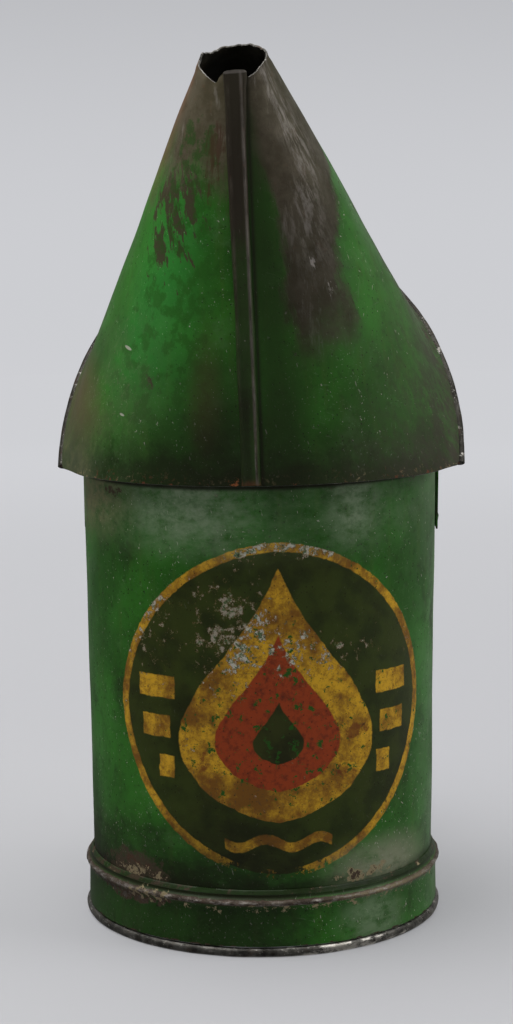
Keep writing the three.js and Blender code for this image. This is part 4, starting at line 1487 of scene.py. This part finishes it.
def build_rivet(node, x, z, face, finish):
    """Rivet with a hammered dome outside and a flattened tail inside the can."""
    inner = math.sqrt((float(wall_radius(z)) - SHEET) ** 2 - (RIVET_SPREAD + 2.3) ** 2) - 0.5
    profile = [
        [0.9, inner - 0.9], [1.9, inner - 0.8], [2.25, inner - 0.45], [2.2, inner - 0.05],
        [1.3, inner], [1.3, face], [2.85, face], [3.0, face + 0.25], [2.75, face + 0.75],
        [2.15, face + 1.2], [1.3, face + 1.5], [0.45, face + 1.6],
    ]
    seed = 70 + x + z
    radius, depth = np.array(profile).T[..., None]
    angles = np.linspace(0, 2 * math.pi, 33)[:-1]
    spread = np.stack([radius * np.cos(angles), radius * 0 * angles, radius * np.sin(angles)], -1)
    sections = spread + [x, 0, z]
    sections[..., 1] = depth
    sections = sections + spread * wobble(sections, 1.9, seed)[..., None] * 0.07
    sections[-3:, :, 1] += wobble(sections[-3:], 1.3, seed + 1) * 0.12
    add_piece(node, f"{node}_dome", sections, [finish], sharp=50)


# ---- Stage, light and camera ----
def board_finish():
    """Pale board that glows by itself: a little near the can, which lightens the can's shadow, and
    more away from it, as a lit backdrop does.
    """
    graph = Graph("pale_board")
    away = graph.maths("SQRT", graph.x * graph.x + graph.y * graph.y)
    glow = away.fade(250, 1300)
    tone = graph.noise(900, 300, 2).fade(0.3, 0.7)
    paper = graph.mix(tone, colour(150, 150, 152), colour(146, 146, 149))
    coats = Coats(graph, graph.mix(glow, paper, colour(30, 30, 31)), 0.7)
    board = coats.finish(specular=0.1)
    shader = next(node for node in graph.nodes if node.type == "BSDF_PRINCIPLED")
    shader.inputs["Emission Color"].default_value = colour(203, 204, 208)
    lit = away.fade(160, 1200) * 0.72 + 0.28
    lit = lit * (1.0 - graph.z.fade(100, 900) * 0.33)
    graph.feed(shader.inputs["Emission Strength"], lit)
    return board


def add_board(name, profile, board, centre):
    """Board turned about the shared frame's Z axis, in metres. centre closes its first ring."""
    work = bmesh.new()
    steps = 128
    angles = 2 * math.pi * np.arange(steps) / steps
    rings = []
    for radius, z in profile:
        rings.append([work.verts.new((radius * math.cos(a), radius * math.sin(a), z)) for a in angles])
    if centre:
        work.faces.new(rings[0])
    join_rings(work, rings, steps)
    stage = mesh_object(name, work, [board])
    return stage


def build_stage():
    """Pale floor that curves up, far away, into a pale wall all round."""
    floor_radius = 1.9
    bend = 0.9
    wall_top = 3.2
    board = board_finish()
    floor_rings = [(radius, 0.0) for radius in (0.2, 0.6, 1.2, floor_radius)]
    wall_rings = [(floor_radius + bend * math.sin(a), bend - bend * math.cos(a))
                  for a in np.linspace(0, math.pi / 2, 20)]
    floor = add_board("floor", floor_rings, board, True)
    wall = add_board("backdrop", wall_rings + [(floor_radius + bend, wall_top)], board, False)
    # The can mirrors the studio's light alone, and the backdrop doesn't light it either.
    floor.visible_glossy = False
    wall.visible_diffuse = False
    wall.visible_glossy = False
    wall.visible_shadow = False


def add_softbox(name, place, aim, size, power):
    light = bpy.data.lights.new(name, "AREA")
    light.shape = "RECTANGLE"
    light.size, light.size_y = size
    light.energy = power
    lamp = add_object(name, light)
    lamp.location = place
    direction = Vector(aim) - Vector(place)
    lamp.rotation_euler = direction.to_track_quat("-Z", "Y").to_euler()


def build_light():
    """Soft studio light from above and behind, dim towards the front and the left."""
    world = bpy.data.worlds.new("studio")
    bpy.context.scene.world = world
    world.use_nodes = True
    nodes = world.node_tree.nodes
    links = world.node_tree.links
    nodes.clear()
    coordinates = nodes.new("ShaderNodeTexCoord")
    split = nodes.new("ShaderNodeSeparateXYZ")
    links.new(coordinates.outputs["Generated"], split.inputs[0])
    strength = nodes.new("ShaderNodeMath")
    strength.operation = "MULTIPLY"
    # Brighter towards the back and towards the right.
    ramps = (("Y", -0.80, 0.45, 0.09, 0.33), ("X", -0.8, 0.2, 0.42, 1.0))
    for socket, (axis, *limits) in zip(strength.inputs, ramps):
        ramp = nodes.new("ShaderNodeMapRange")
        ramp.interpolation_type = "SMOOTHSTEP"
        for name, limit in zip(("From Min", "From Max", "To Min", "To Max"), limits):
            ramp.inputs[name].default_value = limit
        links.new(split.outputs[axis], ramp.inputs["Value"])
        links.new(ramp.outputs[0], socket)
    background = nodes.new("ShaderNodeBackground")
    background.inputs["Color"].default_value = (1.0, 0.99, 0.97, 1.0)
    links.new(strength.outputs[0], background.inputs["Strength"])
    output = nodes.new("ShaderNodeOutputWorld")
    links.new(background.outputs[0], output.inputs["Surface"])

    add_softbox("key_left", (-0.40, -0.18, 1.25), (0, 0, 0.18), (0.95, 0.95), 14.5)
    add_softbox("fill_right", (0.72, -0.08, 0.82), (0, 0, 0.17), (0.5, 0.7), 3.8)
    add_softbox("top", (0.0, 0.25, 1.3), (0, 0.1, 0.0), (1.2, 0.9), 8.0)


def build_camera():
    """Camera before the can and to its right, level with the upper hood, tilted a little down."""
    pitch = math.radians(8.397)
    yaw = math.radians(5.0)
    roll = math.radians(0.48)
    place = np.array([57.17, -665.35, 218.5]) + CAN_AXIS
    data = bpy.data.cameras.new("camera")
    data.sensor_fit = "VERTICAL"
    data.sensor_height = 36.0
    data.lens = 79.28
    data.clip_start = 0.05
    data.clip_end = 20.0
    camera = add_object("camera", data)
    turns = ((yaw, "Z"), (math.pi / 2 - pitch, "X"), (-roll, "Z"))
    camera.matrix_world = Matrix.Translation(Vector(place / 1000))
    for angle, axis in turns:
        camera.matrix_world = camera.matrix_world @ Matrix.Rotation(angle, 4, axis)
    bpy.context.scene.camera = camera


# ---- The whole can ----
build_camera()
dark_inside = tin_finish("inside_of_the_hood", 150, dark=0.75)
inside_tin = tin_finish("inside_of_the_body", 160)
base_tin = tin_finish("base_tin", 170)
torn_edge = worn_edge_finish("torn_edge", 180, remains=0.0)
iron_wire = wire_finish()
soft_solder = solder_finish()

build_wall(wall_finish(), inside_tin, torn_edge)
build_mouth(worn_edge_finish("mouth_edge", 185), iron_wire)
build_collar(plain_enamel_finish("collar_enamel", 90, collar_edge), inside_tin)
build_side_seam(plain_enamel_finish("side_seam_enamel", 95, side_seam_edge))
foot_edge = worn_edge_finish("foot_edge", 190, remains=0.1, rusty=0.2, highlight_right=0.2)
build_base(band_finish(), foot_edge, iron_wire, painted_solder_finish(), soft_solder, base_tin)
build_hood_sheet(hood_finish(), dark_inside, torn_edge)
build_hood_seam(hood_seam_finish())
build_hood_edge(worn_edge_finish("hood_edge", 195, remains=0.1, dark=0.6), iron_wire)
build_hood_solder(soft_solder)
build_handle(
    plain_enamel_finish("strap_enamel", 110, strap_edge),
    worn_edge_finish("strap_rolled_edges", 120, remains=0.5),
    tin_finish("rivet_tin", 130),
)
build_stage()
build_light()
bpy.context.scene.view_settings.view_transform = "Standard"
